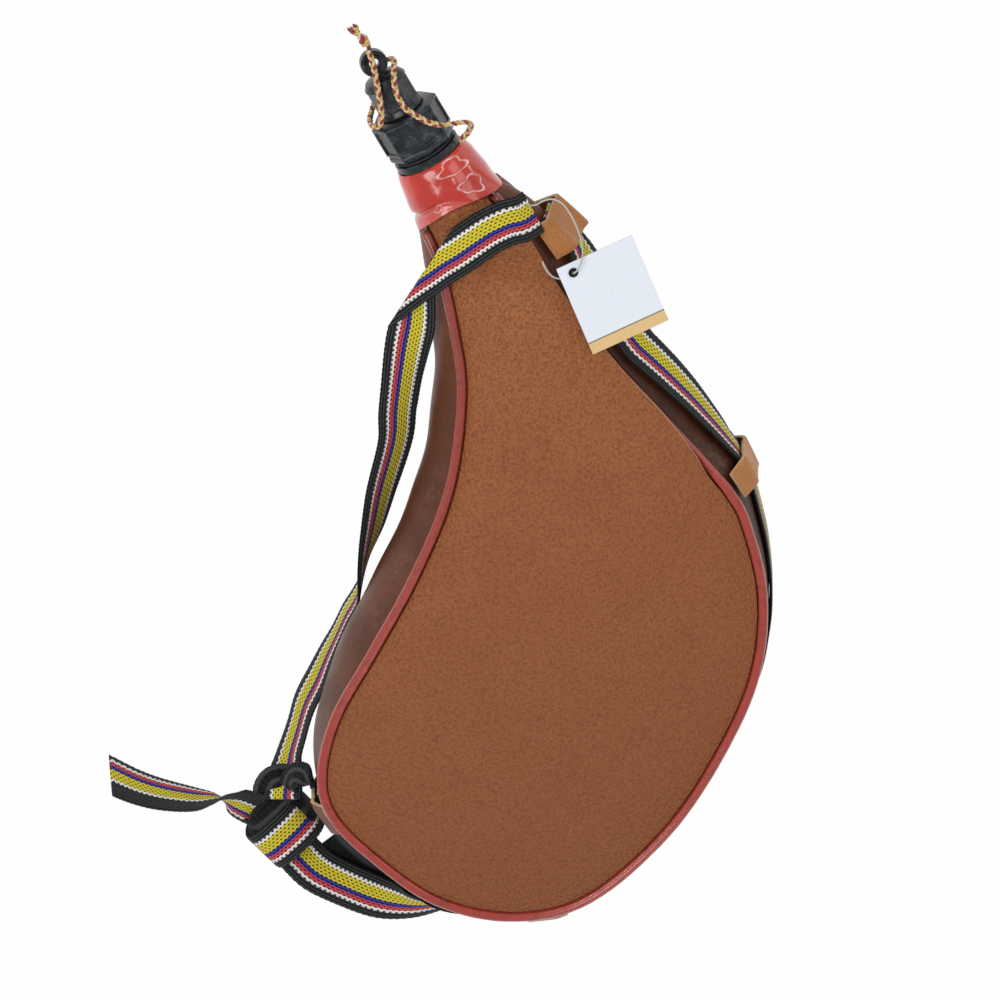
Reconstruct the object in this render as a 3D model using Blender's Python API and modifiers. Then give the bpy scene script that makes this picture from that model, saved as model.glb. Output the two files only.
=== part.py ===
"""A curved leather bota bag lying on its back, with its screw mouthpiece, cap, tether, strap and hang tag.

The bag's outline is a row of stations down the left side, round the bottom and up the right side. Every skin,
the bladder, the piping, the strap on the wall and the loops are worked out from those stations.
"""

import math

import bmesh
import bpy
from mathutils import Vector

# Bag
BAG_WIDTH = 0.233
BAG_LENGTH = 0.317
GUSSET_HEIGHT = 0.054
GUSSET_BULGE = 0.015
NECK_HEIGHT = 0.033
CROWN = 0.037
LEATHER = 0.0020
GUSSET_LEATHER = 0.0018
PIPING_RADIUS = 0.0022
CLEARANCE = 0.0003
SEAM_GAP = 0.0004
BLADDER_WALL = 0.0008
BLADDER_SLACK = 0.0029
BLADDER_CROWN_SLACK = 0.0008

# Neck
NECK_RADIUS = 0.0144
NECK_FLARE_RADIUS = 0.0195
NECK_LENGTH = 0.0155
FLARE_LENGTH = 0.0240
NECK_X_SHARE = 0.335
COLLAR_Y_SHARE = 0.7432
SEAM_ANGLE = math.radians(30)

# Collar
BORE_RADIUS = 0.0090
STEM_RADIUS = 0.0110
STEM_LENGTH = 0.0220
STEM_BARB = 0.0002
FLANGE_RADIUS = 0.0154
FLANGE_THICKNESS = 0.0032
SPIGOT_RADIUS = 0.0126
SPIGOT_HEIGHT = 0.0090
GASKET_THICKNESS = 0.0011
GASKET_RADIUS = 0.0141
GASKET_GAP = 0.0002

# Mouthpiece
OCTAGON_RADIUS = 0.0163
OCTAGON_HEIGHT = 0.0200
LIP_HEIGHT = 0.0044
SHOULDER_HEIGHT = 0.0016
SHOULDER_RADIUS = 0.0134
PANEL_MARGIN = 0.0012
PANEL_DEPTH = 0.0007
SOCKET_DEPTH = 0.0079
FUNNEL_RADIUS = 0.0108
FUNNEL_HEIGHT = 0.0084
THROAT_RADIUS = 0.0025
JET_RADIUS = 0.0009
JET_LENGTH = 0.0020
SPOUT_RADIUS = 0.0062
SPOUT_HEIGHT = 0.0100
OCTAGON_TURN = math.radians(11)

# Cap
CAP_GAP = 0.0005
HEX_RADIUS = 0.0097
CAP_FOOT_RADIUS = 0.0108
CAP_FOOT_HEIGHT = 0.0025
CAP_HEIGHT = 0.0184
CAP_RIM_RADIUS = 0.0100
CAP_TOP_RADIUS = 0.0084
DOME_HEIGHT = 0.0036
LINER_THICKNESS = 0.0012
HEX_TURN = math.radians(2)
RING_RADIUS = 0.0061
RING_WIDTH = 0.0050
RING_DISH = 0.0010
EYE_RADIUS = 0.0022
RING_NECK_RADIUS = 0.0025
RING_RISE = 0.0065

# Neck wrap and binding
WRAP_WALL = 0.0012
WRAP_LENGTH = 0.0212
WRAP_TOP_RADIUS = 0.0159
WRAP_BULGE_RADIUS = 0.0187
WRAP_PINCH_RADIUS = 0.0184
WRAP_FOOT_RADIUS = 0.0208
BINDING_CORD = 0.0016
BINDING_PITCH = 0.0021
BINDING_TURNS = 5
BINDING_TOP = 0.0045

# Strap, loops and tether
STRAP_WIDTH = 0.0200
STRAP_THICKNESS = 0.0014
WALL_GAP = 0.0010
LOOP_WIDTH = 0.0160
LOOP_LEATHER = 0.0018
TETHER_RADIUS = 0.00145
STRAP_KNOT_LENGTH = 0.0400
STRAP_KNOT_WIDTH = 0.0320
STRAP_KNOT_HEIGHT = 0.0200

# Hang tag
TAG_WIDTH = 0.0366
TAG_HEIGHT = 0.0440
TAG_CARD = 0.0008
TAG_HOLE_SIDE = 0.0063
TAG_HOLE_TOP = 0.0045
EYELET_RADIUS = 0.0022
EYELET_BARREL = 0.0015
EYELET_HOLE = 0.0009
EYELET_FLANGE = 0.0004
THREAD_RADIUS = 0.0004
TAG_PITCH = math.radians(2)
TAG_ROLL = math.radians(11.8)
TAG_YAW = math.radians(-7.2)
TAG_PLACE_SHARES = (0.485, 0.530, 2.03)

# Where the strap lies along the wall, where the loops hold it, and its knot
STRAP_OFF = STRAP_THICKNESS / 2 + WALL_GAP
WALL_HEIGHT_SHARES = [
    (0.0, 0.0),
    (0.635, 0.0),
    (0.662, 0.03),
    (0.678, 0.15),
    (0.706, 0.31),
    (0.735, 0.46),
    (0.765, 0.57),
    (0.794, 0.55),
    (0.815, 0.42),
    (0.836, 0.17),
    (1.0, 0.15),
]
WALL_END_SHARES = {
    "strap_wall_run": ((0.431, 0.592), (-0.300, -0.256)),
    "strap_left_wall": ((-0.457, -0.012), (-0.400, -0.165)),
}
LOOP_PLACE_SHARES = {
    "upper_loop": (0.429, 0.568),
    "right_loop": (0.519, 0.126),
    "bottom_loop": (-0.205, -0.292),
    "left_loop": (-0.4555, -0.036),
}
LOOP_END_SHARE = 0.80
LOOP_ROW_SHARES = (-1, -0.5, 0, 0.5, 1)
WALL_ROWS = 1.6
STRAP_KNOT_PLACE_SHARES = (-0.590, -0.048, 0.365)
STRAP_KNOT_YAW = math.radians(35)
KNOT_BAND_SHARES = [(math.radians(12), 1.08, 0.70), (math.radians(76), 1.16, 0.78)]
BAG_CENTRE_SHARES = (0.0, 0.0, 1.0)

# Each station of the outline: x, y, place along the spine, bulge, rise, tuck of the panel over the
# piping, and how much of the piping there is. The neck's own stations are worked out from its radius.
LEFT_SHARES = [
    (0.2575, 0.615, 0.115, 0.50, 0.54, 0.0, 1.0),
    (0.223, 0.527, 0.20, 0.72, 0.72, 0.0, 1.0),
    (0.172, 0.435, 0.30, 0.84, 0.86, 0.0, 1.0),
    (0.060, 0.322, 0.44, 0.86, 0.96, 0.0, 1.0),
    (-0.082, 0.233, 0.58, 0.84, 1.0, 0.0, 1.0),
    (-0.227, 0.161, 0.72, 0.80, 1.0, 0.0, 1.0),
    (-0.352, 0.101, 0.86, 0.48, 1.0, 0.0, 1.0),
    (-0.433, 0.035, 0.95, 0.28, 1.0, 0.0, 1.0),
]
BOTTOM_SHARES = [
    (-0.457, -0.025, 1.0, 0.26, 1.0, 0.0, 1.0),
    (-0.433, -0.104, 1.0, 0.30, 1.0, 0.0, 1.0),
    (-0.369, -0.208, 1.0, 0.30, 1.0, 0.0, 1.0),
    (-0.258, -0.281, 1.0, 0.30, 1.0, 0.0, 1.0),
    (-0.116, -0.308, 1.0, 0.30, 1.0, 0.0, 1.0),
    (0.077, -0.274, 1.0, 0.26, 1.0, 0.0, 1.0),
    (0.245, -0.207, 1.0, 0.22, 1.0, 0.0, 1.0),
    (0.382, -0.126, 1.0, 0.18, 1.0, 0.0, 1.0),
    (0.472, -0.028, 1.0, 0.18, 1.0, 0.0, 1.0),
    (0.515, 0.076, 1.0, 0.28, 1.0, 0.0, 1.0),
]
RIGHT_SHARES = [
    (0.519, 0.126, 1.0, 0.42, 1.0, 0.0, 1.0),
    (0.511, 0.167, 0.95, 0.58, 1.0, 0.25, 1.0),
    (0.498, 0.221, 0.86, 0.75, 1.0, 0.7, 1.0),
    (0.479, 0.290, 0.72, 0.96, 0.98, 1.0, 1.0),
    (0.457, 0.363, 0.58, 1.08, 0.95, 1.0, 1.0),
    (0.442, 0.438, 0.44, 1.12, 0.90, 1.0, 1.0),
    (0.431, 0.514, 0.30, 1.08, 0.78, 1.0, 1.0),
    (0.429, 0.574, 0.20, 0.80, 0.64, 0.9, 1.0),
    (0.425, 0.618, 0.115, 0.50, 0.54, 0.5, 1.0),
]
# The spine that the panels' crowns follow: place along it, x, y, crown.
SPINE_SHARES = [
    (0.115, 0.339, 0.617, 0.554),
    (0.20, 0.330, 0.549, 0.69),
    (0.30, 0.309, 0.473, 0.81),
    (0.44, 0.249, 0.356, 0.92),
    (0.58, 0.180, 0.237, 0.97),
    (0.72, 0.120, 0.142, 1.0),
    (0.86, 0.073, 0.063, 1.0),
    (0.95, 0.043, -0.006, 1.0),
    (1.0, 0.026, -0.044, 1.0),
]
STATION_STEPS = 2
PANEL_RINGS = 5
GUSSET_ROWS = 5
BLADDER_ROWS = 4
TURN_STEPS = 24

# Free runs of the strap: x, y and z as shares of the bag's width, its length and the neck's height, then
# the way the webbing's face looks.
FRONT_RUN_SHARES = [
    (0.463, 0.615, 1.46, 0.60, 0.10, 0.79),
    (0.442, 0.618, 1.60, 0.45, 0.15, 0.88),
    (0.416, 0.621, 1.69, 0.18, 0.20, 0.96),
    (0.378, 0.621, 1.73, 0.05, 0.20, 0.98),
    (0.343, 0.618, 1.74, 0.0, 0.20, 0.98),
    (0.297, 0.613, 1.72, -0.12, 0.20, 0.97),
    (0.250, 0.602, 1.655, -0.38, 0.20, 0.90),
    (0.205, 0.582, 1.53, -0.45, 0.15, 0.88),
    (0.157, 0.552, 1.41, -0.30, 0.05, 0.95),
    (0.121, 0.521, 1.34, 0.25, 0.10, 0.96),
    (0.078, 0.480, 1.25, 0.50, 0.02, 0.86),
    (0.035, 0.436, 1.15, 0.57, -0.03, 0.82),
    (-0.002, 0.394, 1.045, 0.63, -0.10, 0.77),
    (-0.078, 0.332, 0.85, 0.68, -0.18, 0.70),
    (-0.137, 0.280, 0.68, 0.75, -0.32, 0.55),
    (-0.187, 0.238, 0.56, 0.81, -0.48, 0.28),
    (-0.2290, 0.2060, 0.45, 0.81, -0.58, 0.05),
    (-0.2570, 0.1915, 0.39, 0.80, -0.59, -0.06),
    (-0.2880, 0.1780, 0.36, 0.79, -0.60, -0.12),
    (-0.3255, 0.1562, 0.335, 0.76, -0.64, -0.16),
    (-0.3612, 0.1352, 0.32, 0.69, -0.67, -0.26),
    (-0.3962, 0.1120, 0.315, 0.63, -0.68, -0.36),
    (-0.4333, 0.0846, 0.315, 0.61, -0.69, -0.39),
    (-0.4720, 0.0555, 0.32, 0.61, -0.69, -0.38),
    (-0.5060, 0.0310, 0.33, 0.58, -0.68, -0.45),
    (-0.5300, 0.0110, 0.34, 0.45, -0.55, -0.70),
    (-0.5389, 0.0028, 0.342, 0.40, -0.50, -0.76),
]
LOWER_RUN_SHARES = [
    (-0.5899, -0.1054, 0.321, 0.10, 0.0, 0.99),
    (-0.5880, -0.117, 0.30, 0.10, 0.0, 0.99),
    (-0.577, -0.146, 0.28, 0.10, 0.0, 0.99),
    (-0.546, -0.183, 0.26, 0.0, 0.0, 1.0),
    (-0.505, -0.220, 0.28, -0.05, -0.10, 0.99),
    (-0.458, -0.243, 0.40, -0.20, -0.40, 0.89),
    (-0.411, -0.253, 0.62, -0.40, -0.70, 0.58),
    (-0.374, -0.2610, 0.86, -0.50, -0.84, 0.18),
    (-0.346, -0.2660, 0.97, -0.48, -0.87, 0.0),
    (-0.3235, -0.2710, 1.0, -0.48, -0.87, 0.0),
]
BACK_RUN_SHARES = [
    (-0.5450, -0.115, 0.216, 0.05, 0.0, 1.0),
    (-0.538, -0.148, 0.12, 0.0, 0.0, 1.0),
    (-0.521, -0.188, 0.07, 0.0, 0.0, 1.0),
    (-0.488, -0.216, 0.09, 0.0, 0.0, 1.0),
    (-0.456, -0.222, 0.15, -0.20, -0.25, 0.95),
    (-0.436, -0.212, 0.30, -0.45, -0.50, 0.70),
    (-0.4295, -0.198, 0.48, -0.72, -0.58, 0.35),
    (-0.4270, -0.1905, 0.75, -0.82, -0.55, 0.12),
    (-0.4248, -0.1840, 0.97, -0.83, -0.56, 0.0),
]
TAIL_SHARES = [
    (-0.824, 0.121, 0.32, 0.66, 0.53, 0.50),
    (-0.795, 0.090, 0.32, 0.69, 0.56, 0.45),
    (-0.760, 0.0625, 0.32, 0.72, 0.58, 0.35),
    (-0.711, 0.034, 0.32, 0.76, 0.61, 0.15),
    (-0.676, 0.021, 0.33, 0.76, 0.61, -0.14),
    (-0.654, 0.011, 0.34, 0.63, 0.50, -0.57),
    (-0.638, -0.002, 0.34, 0.38, 0.30, -0.86),
]
SIDE_RUN_SHARES = [
    (-0.4800, -0.0060, 1.00, -0.98, 0.10, 0.0),
    (-0.4815, 0.0030, 0.97, -0.90, 0.35, 0.10),
    (-0.4890, 0.0120, 0.90, -0.60, 0.65, 0.35),
    (-0.5040, 0.0150, 0.79, -0.30, 0.70, 0.55),
    (-0.5200, 0.0090, 0.70, -0.20, 0.70, 0.60),
    (-0.5330, -0.004, 0.62, -0.10, 0.60, 0.75),
    (-0.5368, -0.0105, 0.564, -0.10, 0.60, 0.75),
]

# The tether's route in metres, from the wrap's top edge round the cap to the ring.
TETHER_ROUTE = [
    (0.0945, 0.2359, 0.0377),
    (0.0965, 0.2374, 0.0386),
    (0.1000, 0.2392, 0.0402),
    (0.1030, 0.2425, 0.0432),
    (0.1024, 0.2462, 0.0470),
    (0.0967, 0.2501, 0.0510),
    (0.0929, 0.2522, 0.0518),
    (0.0888, 0.2557, 0.0510),
    (0.0857, 0.2602, 0.0500),
    (0.0828, 0.2657, 0.0490),
    (0.0825, 0.2719, 0.0475),
    (0.0836, 0.2768, 0.0452),
    (0.0856, 0.2808, 0.0415),
    (0.0866, 0.2824, 0.0360),
    (0.0848, 0.2822, 0.0292),
    (0.0800, 0.2812, 0.0258),
    (0.0750, 0.2768, 0.0215),
    (0.0715, 0.2710, 0.0198),
    (0.0680, 0.2660, 0.0210),
    (0.0644, 0.2632, 0.0268),
    (0.0632, 0.2622, 0.0345),
    (0.0650, 0.2622, 0.0420),
    (0.0679, 0.2630, 0.0464),
    (0.0705, 0.2650, 0.0472),
    (0.0730, 0.2698, 0.0464),
    (0.0751, 0.2754, 0.0452),
    (0.0772, 0.2818, 0.0430),
    (0.0784, 0.2859, 0.0408),
    (0.0794, 0.2900, 0.0391),
    (0.0798, 0.2936, 0.0383),
]
# From inside the ring's eye, behind the ring, to the knot and its frayed end: place and swell.
TETHER_KNOT_ROUTE = [
    (0.0782, 0.2855, 0.0345, 0.9),
    (0.0779, 0.2857, 0.0316, 0.9),
    (0.0778, 0.2866, 0.0288, 0.95),
    (0.0783, 0.2892, 0.0273, 1.0),
    (0.0789, 0.2922, 0.0280, 1.0),
    (0.0795, 0.2948, 0.0302, 1.15),
    (0.0799, 0.2962, 0.0331, 1.7),
    (0.0800, 0.2977, 0.0358, 2.05),
    (0.0799, 0.2998, 0.0370, 1.7),
    (0.0796, 0.3015, 0.0370, 1.1),
    (0.0792, 0.3032, 0.0368, 1.5),
    (0.0789, 0.3052, 0.0366, 2.1),
]
TAG_THREAD_ROUTE = [
    (0.1030, 0.1780, 0.0640),
    (0.1028, 0.1725, 0.0645),
    (0.1050, 0.1680, 0.0648),
    (0.1090, 0.1670, 0.0646),
    (0.1126, 0.1680, 0.0654),
    (0.1130, 0.1680, 0.0670),
    (0.1134, 0.1680, 0.0687),
    (0.1152, 0.1686, 0.0694),
    (0.1180, 0.1703, 0.0688),
    (0.1208, 0.1733, 0.0672),
    (0.1228, 0.1785, 0.0640),
    (0.1236, 0.1840, 0.0605),
    (0.1236, 0.1895, 0.0580),
    (0.1225, 0.1950, 0.0560),
    (0.1195, 0.1985, 0.0550),
    (0.1155, 0.1995, 0.0545),
    (0.1120, 0.1992, 0.0538),
    (0.1098, 0.1991, 0.0519),
    (0.10764, 0.1989, 0.0495),
]

MATERIALS = {
    "tan_leather": ((0.46, 0.20, 0.085, 1), 0.62, 0.0),
    "dark_leather": ((0.10, 0.045, 0.028, 1), 0.50, 0.0),
    "red_piping": ((0.45, 0.075, 0.05, 1), 0.30, 0.0),
    "red_vinyl": ((0.62, 0.06, 0.035, 1), 0.18, 0.0),
    "bladder_latex": ((0.72, 0.62, 0.45, 1), 0.45, 0.0),
    "binding_cord": ((0.70, 0.64, 0.50, 1), 0.85, 0.0),
    "black_plastic": ((0.022, 0.028, 0.033, 1), 0.32, 0.0),
    "seal_rubber": ((0.05, 0.05, 0.05, 1), 0.75, 0.0),
    "loop_leather": ((0.56, 0.29, 0.12, 1), 0.60, 0.0),
    "webbing": ((0.02, 0.025, 0.03, 1), 0.85, 0.0),
    "tether_braid": ((0.60, 0.30, 0.16, 1), 0.85, 0.0),
    "tag_card": ((0.82, 0.86, 0.88, 1), 0.55, 0.0),
    "eyelet_metal": ((0.02, 0.02, 0.02, 1), 0.35, 1.0),
    "tag_thread": ((0.75, 0.75, 0.72, 1), 0.40, 0.0),
}

NECK_X = NECK_X_SHARE * BAG_WIDTH
COLLAR_Y = COLLAR_Y_SHARE * BAG_LENGTH


def clear_scene():
    for thing in list(bpy.data.objects):
        bpy.data.objects.remove(thing, do_unlink=True)
    for group in list(bpy.data.collections):
        bpy.data.collections.remove(group)


def make_collection(name, hidden=False):
    group = bpy.data.collections.new(name)
    bpy.context.scene.collection.children.link(group)
    group.hide_render = hidden
    return group


def material(name):
    found = bpy.data.materials.get(name)
    if found:
        return found
    colour, roughness, metallic = MATERIALS[name]
    made = bpy.data.materials.new(name)
    made.use_nodes = True
    shader = made.node_tree.nodes["Principled BSDF"]
    shader.inputs["Base Color"].default_value = colour
    shader.inputs["Roughness"].default_value = roughness
    shader.inputs["Metallic"].default_value = metallic
    made.diffuse_color = colour
    return made


def add_object(name, data, material_name, parent=None, cutter=False):
    thing = bpy.data.objects.new(name, data)
    if cutter:
        CUTTERS.objects.link(thing)
        thing.hide_render = True
        thing.display_type = "WIRE"
    else:
        PARTS.objects.link(thing)
        data.materials.append(material(material_name))
    thing.parent = parent
    return thing


def add_empty(name, place, turn, parent=None):
    thing = bpy.data.objects.new(name, None)
    PARTS.objects.link(thing)
    thing.parent = parent
    thing.location = place
    thing.rotation_euler = turn
    return thing


def catmull(a, b, c, d, t):
    """One coordinate of the Catmull-Rom curve between b and c."""
    return 0.5 * (2 * b + (c - a) * t + (2 * a - 5 * b + 4 * c - d) * t * t + (3 * b - a - 3 * c + d) * t**3)


def smooth_rows(rows, steps):
    """The rows with others between them, read from a smooth curve through them all."""
    out = []
    last = len(rows) - 1
    for i in range(last):
        before = rows[max(i - 1, 0)]
        after = rows[min(i + 2, last)]
        for k in range(steps):
            t = k / steps
            out.append(tuple(catmull(*four, t) for four in zip(before, rows[i], rows[i + 1], after)))
    out.append(tuple(rows[last]))
    return out


def even_rows(rows, spacing):
    """Rows at an even spacing along the smooth curve through a route's places."""
    fine = smooth_rows(rows, 12)
    lengths = [0.0]
    for a, b in zip(fine, fine[1:]):
        lengths.append(lengths[-1] + (Vector(b[:3]) - Vector(a[:3])).length)
    count = max(4, round(lengths[-1] / spacing))
    out = []
    low = 0
    for k in range(count + 1):
        want = lengths[-1] * k / count
        while low < len(lengths) - 2 and lengths[low + 1] < want:
            low += 1
        t = (want - lengths[low]) / (lengths[low + 1] - lengths[low])
        out.append(tuple(a + (b - a) * min(t, 1.0) for a, b in zip(fine[low], fine[low + 1])))
    return out


def neck_station(drop, radius, place, side, welt, slack):
    """A station on the round neck, that far below the collar's flange."""
    return {
        "point": Vector((NECK_X + side * radius * math.cos(SEAM_ANGLE), COLLAR_Y - drop)),
        "place": place,
        "bulge": radius * (1 - math.cos(SEAM_ANGLE)),
        "rise": radius * math.sin(SEAM_ANGLE),
        "tuck": 0.0,
        "welt": welt,
        "slack": slack,
    }


def bag_station(row):
    x, y, place, bulge, rise, tuck, welt = row
    return {
        "point": Vector((x * BAG_WIDTH, y * BAG_LENGTH)),
        "place": place,
        "bulge": bulge * GUSSET_BULGE,
        "rise": rise * GUSSET_HEIGHT / 2,
        "tuck": tuck,
        "welt": welt,
        "slack": 1.0,
    }


def outline_stations():
    """Every station from the neck's left side round the bottom to its right side, with its outward way."""
    middle = (NECK_LENGTH + FLARE_LENGTH) / 2
    between = (NECK_RADIUS + NECK_FLARE_RADIUS) / 2
    neck = [
        (CLEARANCE, NECK_RADIUS, 0.0, 0.0, 0.0),
        (NECK_LENGTH, NECK_RADIUS, 0.05, 0.0, 0.0),
        (middle, between, 0.065, 0.0, 0.8),
        (FLARE_LENGTH, NECK_FLARE_RADIUS, 0.08, 1.0, 1.0),
    ]
    made = [neck_station(drop, radius, place, -1, welt, slack) for drop, radius, place, welt, slack in neck]
    made += [bag_station(row) for row in LEFT_SHARES + BOTTOM_SHARES + RIGHT_SHARES]
    for drop, radius, place, welt, slack in reversed(neck):
        made.append(neck_station(drop, radius, place, 1, welt, slack))
    keys = ("place", "bulge", "rise", "tuck", "welt", "slack")
    rows = [(s["point"].x, s["point"].y, *(s[k] for k in keys)) for s in made]
    stations = []
    for x, y, place, bulge, rise, tuck, welt, slack in smooth_rows(rows, STATION_STEPS):
        stations.append(
            {
                "point": Vector((x, y)),
                "place": min(max(place, 0.0), 1.0),
                "bulge": bulge,
                "rise": rise,
                "tuck": min(max(tuck, 0.0), 1.0),
                "welt": min(max(welt, 0.0), 1.0),
                "slack": min(max(slack, 0.0), 1.0),
            }
        )
    for i, station in enumerate(stations):
        along = stations[min(i + 1, len(stations) - 1)]["point"] - stations[max(i - 1, 0)]["point"]
        station["out"] = Vector((along.y, -along.x)).normalized()
    return stations


def spine_rows():
    neck = [
        (0.0, NECK_X, COLLAR_Y - CLEARANCE, NECK_RADIUS),
        (0.05, NECK_X, COLLAR_Y - NECK_LENGTH, NECK_RADIUS),
        (0.08, NECK_X, COLLAR_Y - FLARE_LENGTH, NECK_FLARE_RADIUS),
    ]
    return neck + [(p, x * BAG_WIDTH, y * BAG_LENGTH, c * CROWN) for p, x, y, c in SPINE_SHARES]


def spine_at(place):
    """The spine's x, y and crown at a place along it."""
    rows = SPINE
    for low, high in zip(rows, rows[1:]):
        if place <= high[0]:
            t = (place - low[0]) / (high[0] - low[0])
            return tuple(low[k] + (high[k] - low[k]) * t for k in (1, 2, 3))
    return rows[-1][1:]


def panel_edge(station, inset, side):
    """Where a panel's outer surface ends at the piping, and its height above the neck's centre."""
    point, out, welt = station["point"], station["out"], station["welt"]
    if inset:
        depth = inset_at(station, inset)
        return point - out * depth * math.cos(SEAM_ANGLE), station["rise"] - depth * math.sin(SEAM_ANGLE)
    tuck = station["tuck"] if side > 0 else 0.0
    angle = math.pi / 2 * min(1.0, 2 * tuck)
    reach = PIPING_RADIUS + SEAM_GAP
    over = PIPING_RADIUS * max(0.0, 2 * tuck - 1)
    offset = welt * (over - reach * math.cos(angle))
    lift = welt * ((reach + LEATHER / 2) * math.sin(angle) + LEATHER / 2) + (1 - welt) * SEAM_GAP
    return point + out * offset, station["rise"] + lift


def inset_at(station, inset, slack=BLADDER_SLACK):
    """How far the bladder's skin lies inside the leather: the leather's wall at the neck, more in the bag."""
    return inset + station["slack"] * slack


def crown_profile(w):
    """0 at the seam, 1 at the spine: the arc of a circle seen across the neck."""
    return 2 * math.sqrt(1 - 0.75 * (1 - w) ** 2) - 1


def panel_rows(side, inset=0.0, floor=0.0, stride=1, rings=PANEL_RINGS):
    """Rows of points from one seam to the spine. side is 1 for the front and -1 for the back."""
    rows = []
    for station in STATIONS[::stride]:
        edge, rise = panel_edge(station, inset, side)
        x, y, crown = spine_at(station["place"])
        crown -= inset_at(station, inset, BLADDER_CROWN_SLACK) if inset else 0
        row = []
        for k in range(rings + 1):
            w = k / rings
            flat = edge.lerp(Vector((x, y)), w)
            height = NECK_HEIGHT + side * (rise + (crown - rise) * crown_profile(w))
            row.append(Vector((flat.x, flat.y, max(height, floor))))
        rows.append(row)
    return rows


def gusset_section(station, inset=0.0, count=GUSSET_ROWS):
    """The gusset's bulging section at a station, from the front seam to the back seam."""
    point, out, bulge = station["point"], station["out"], station["bulge"]
    if inset:
        depth = inset_at(station, inset)
        bulge -= depth * (1 - math.cos(SEAM_ANGLE))
        point = point - out * depth * math.cos(SEAM_ANGLE)
        half = station["rise"] - depth * math.sin(SEAM_ANGLE)
    else:
        half = station["rise"] - station["welt"] * PIPING_RADIUS - SEAM_GAP
    section = []
    for k in range(count + 1):
        c = 1 - 2 * k / count
        flat = point + out * bulge * (1 - c * c)
        section.append(Vector((flat.x, flat.y, NECK_HEIGHT + half * c)))
    return section


def add_grid(bm, rows, flip=False):
    """Quads between rows of points; a face with merged corners that shrinks to nothing is left out."""
    made = [[bm.verts.new(p) for p in row] for row in rows]
    for one, two in zip(made, made[1:]):
        for k in range(len(one) - 1):
            corners = [one[k], one[k + 1], two[k + 1], two[k]]
            bm.faces.new(reversed(corners) if flip else corners)


def finish_mesh(bm, name, merge=CLEARANCE / 30):
    bmesh.ops.remove_doubles(bm, verts=bm.verts, dist=merge)
    bmesh.ops.dissolve_degenerate(bm, edges=bm.edges, dist=merge)
    mesh = bpy.data.meshes.new(name)
    bm.to_mesh(mesh)
    bm.free()
    mesh.shade_smooth()
    return mesh


def shell(name, mesh, wall, material_name, inward=True, parent=None):
    thing = add_object(name, mesh, material_name, parent)
    skin = thing.modifiers.new("wall", "SOLIDIFY")
    skin.thickness = wall
    skin.offset = -1 if inward else 1
    skin.use_even_offset = True
    return thing


def facing_out(bm, centre):
    """Turns an open skin so that its faces look away from a point inside."""
    total = sum((f.calc_center_median() - centre).dot(f.normal) * f.calc_area() for f in bm.faces)
    if total < 0:
        bmesh.ops.reverse_faces(bm, faces=bm.faces)


def inside_point():
    x, y, z = BAG_CENTRE_SHARES
    return Vector((x * BAG_WIDTH, y * BAG_LENGTH, z * NECK_HEIGHT))


def make_panel(name, side):
    bm = bmesh.new()
    add_grid(bm, panel_rows(side), flip=side < 0)
    bmesh.ops.remove_doubles(bm, verts=bm.verts, dist=CLEARANCE / 30)
    bm.normal_update()
    facing_out(bm, inside_point())
    return shell(name, finish_mesh(bm, name), LEATHER, "tan_leather")


def make_gusset():
    bm = bmesh.new()
    add_grid(bm, [gusset_section(station) for station in STATIONS])
    bm.normal_update()
    facing_out(bm, inside_point())
    return shell("gusset", finish_mesh(bm, "gusset"), GUSSET_LEATHER, "dark_leather")


def make_bladder():
    inset = LEATHER + CLEARANCE
    floor = LEATHER + 2 * CLEARANCE
    bm = bmesh.new()
    stride = STATION_STEPS
    add_grid(bm, panel_rows(1, inset, floor, stride, BLADDER_ROWS))
    add_grid(bm, [gusset_section(station, inset, BLADDER_ROWS) for station in STATIONS[::stride]])
    add_grid(bm, panel_rows(-1, inset, floor, stride, BLADDER_ROWS), flip=True)
    bmesh.ops.remove_doubles(bm, verts=bm.verts, dist=CLEARANCE / 30)
    bmesh.ops.recalc_face_normals(bm, faces=bm.faces)
    bm.normal_update()
    facing_out(bm, inside_point())
    return shell("bladder", finish_mesh(bm, "bladder"), BLADDER_WALL, "bladder_latex")


def tube(name, points, radius, material_name, parent=None, resolution=2, cyclic=False):
    curve = bpy.data.curves.new(name, "CURVE")
    curve.dimensions = "3D"
    curve.bevel_depth = radius
    curve.bevel_resolution = resolution
    curve.use_fill_caps = True
    spline = curve.splines.new("POLY")
    spline.points.add(len(points) - 1)
    spline.use_cyclic_u = cyclic
    for place, point in zip(spline.points, points):
        place.co = (*point, 1)
    return add_object(name, curve, material_name, parent)


def make_piping(name, side):
    """The bead along a seam, from just below the wrap round the bag and back."""
    points = []
    for station in STATIONS:
        if station["welt"] > 0.999:
            p = station["point"]
            points.append((p.x, p.y, NECK_HEIGHT + side * station["rise"]))
    return tube(name, points, PIPING_RADIUS, "red_piping")


def turned(name, profile, material_name, parent, steps=TURN_STEPS, cutter=False, closed=True):
    """A turned shape about the parent's Z, from radius and height pairs that run down its outer side."""
    mesh = bpy.data.meshes.new(name)
    count = len(profile)
    edges = [(i, (i + 1) % count) for i in range(count if closed else count - 1)]
    mesh.from_pydata([(r, 0, z) for r, z in profile], edges, [])
    thing = add_object(name, mesh, material_name, parent, cutter)
    screw = thing.modifiers.new("turn", "SCREW")
    screw.steps = steps
    screw.render_steps = steps
    screw.use_merge_vertices = True
    screw.merge_threshold = 0.00001
    screw.use_smooth_shade = True
    return thing


def cut(thing, cutter, operation="DIFFERENCE"):
    made = thing.modifiers.new(cutter.name, "BOOLEAN")
    made.operation = operation
    made.object = cutter


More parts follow.
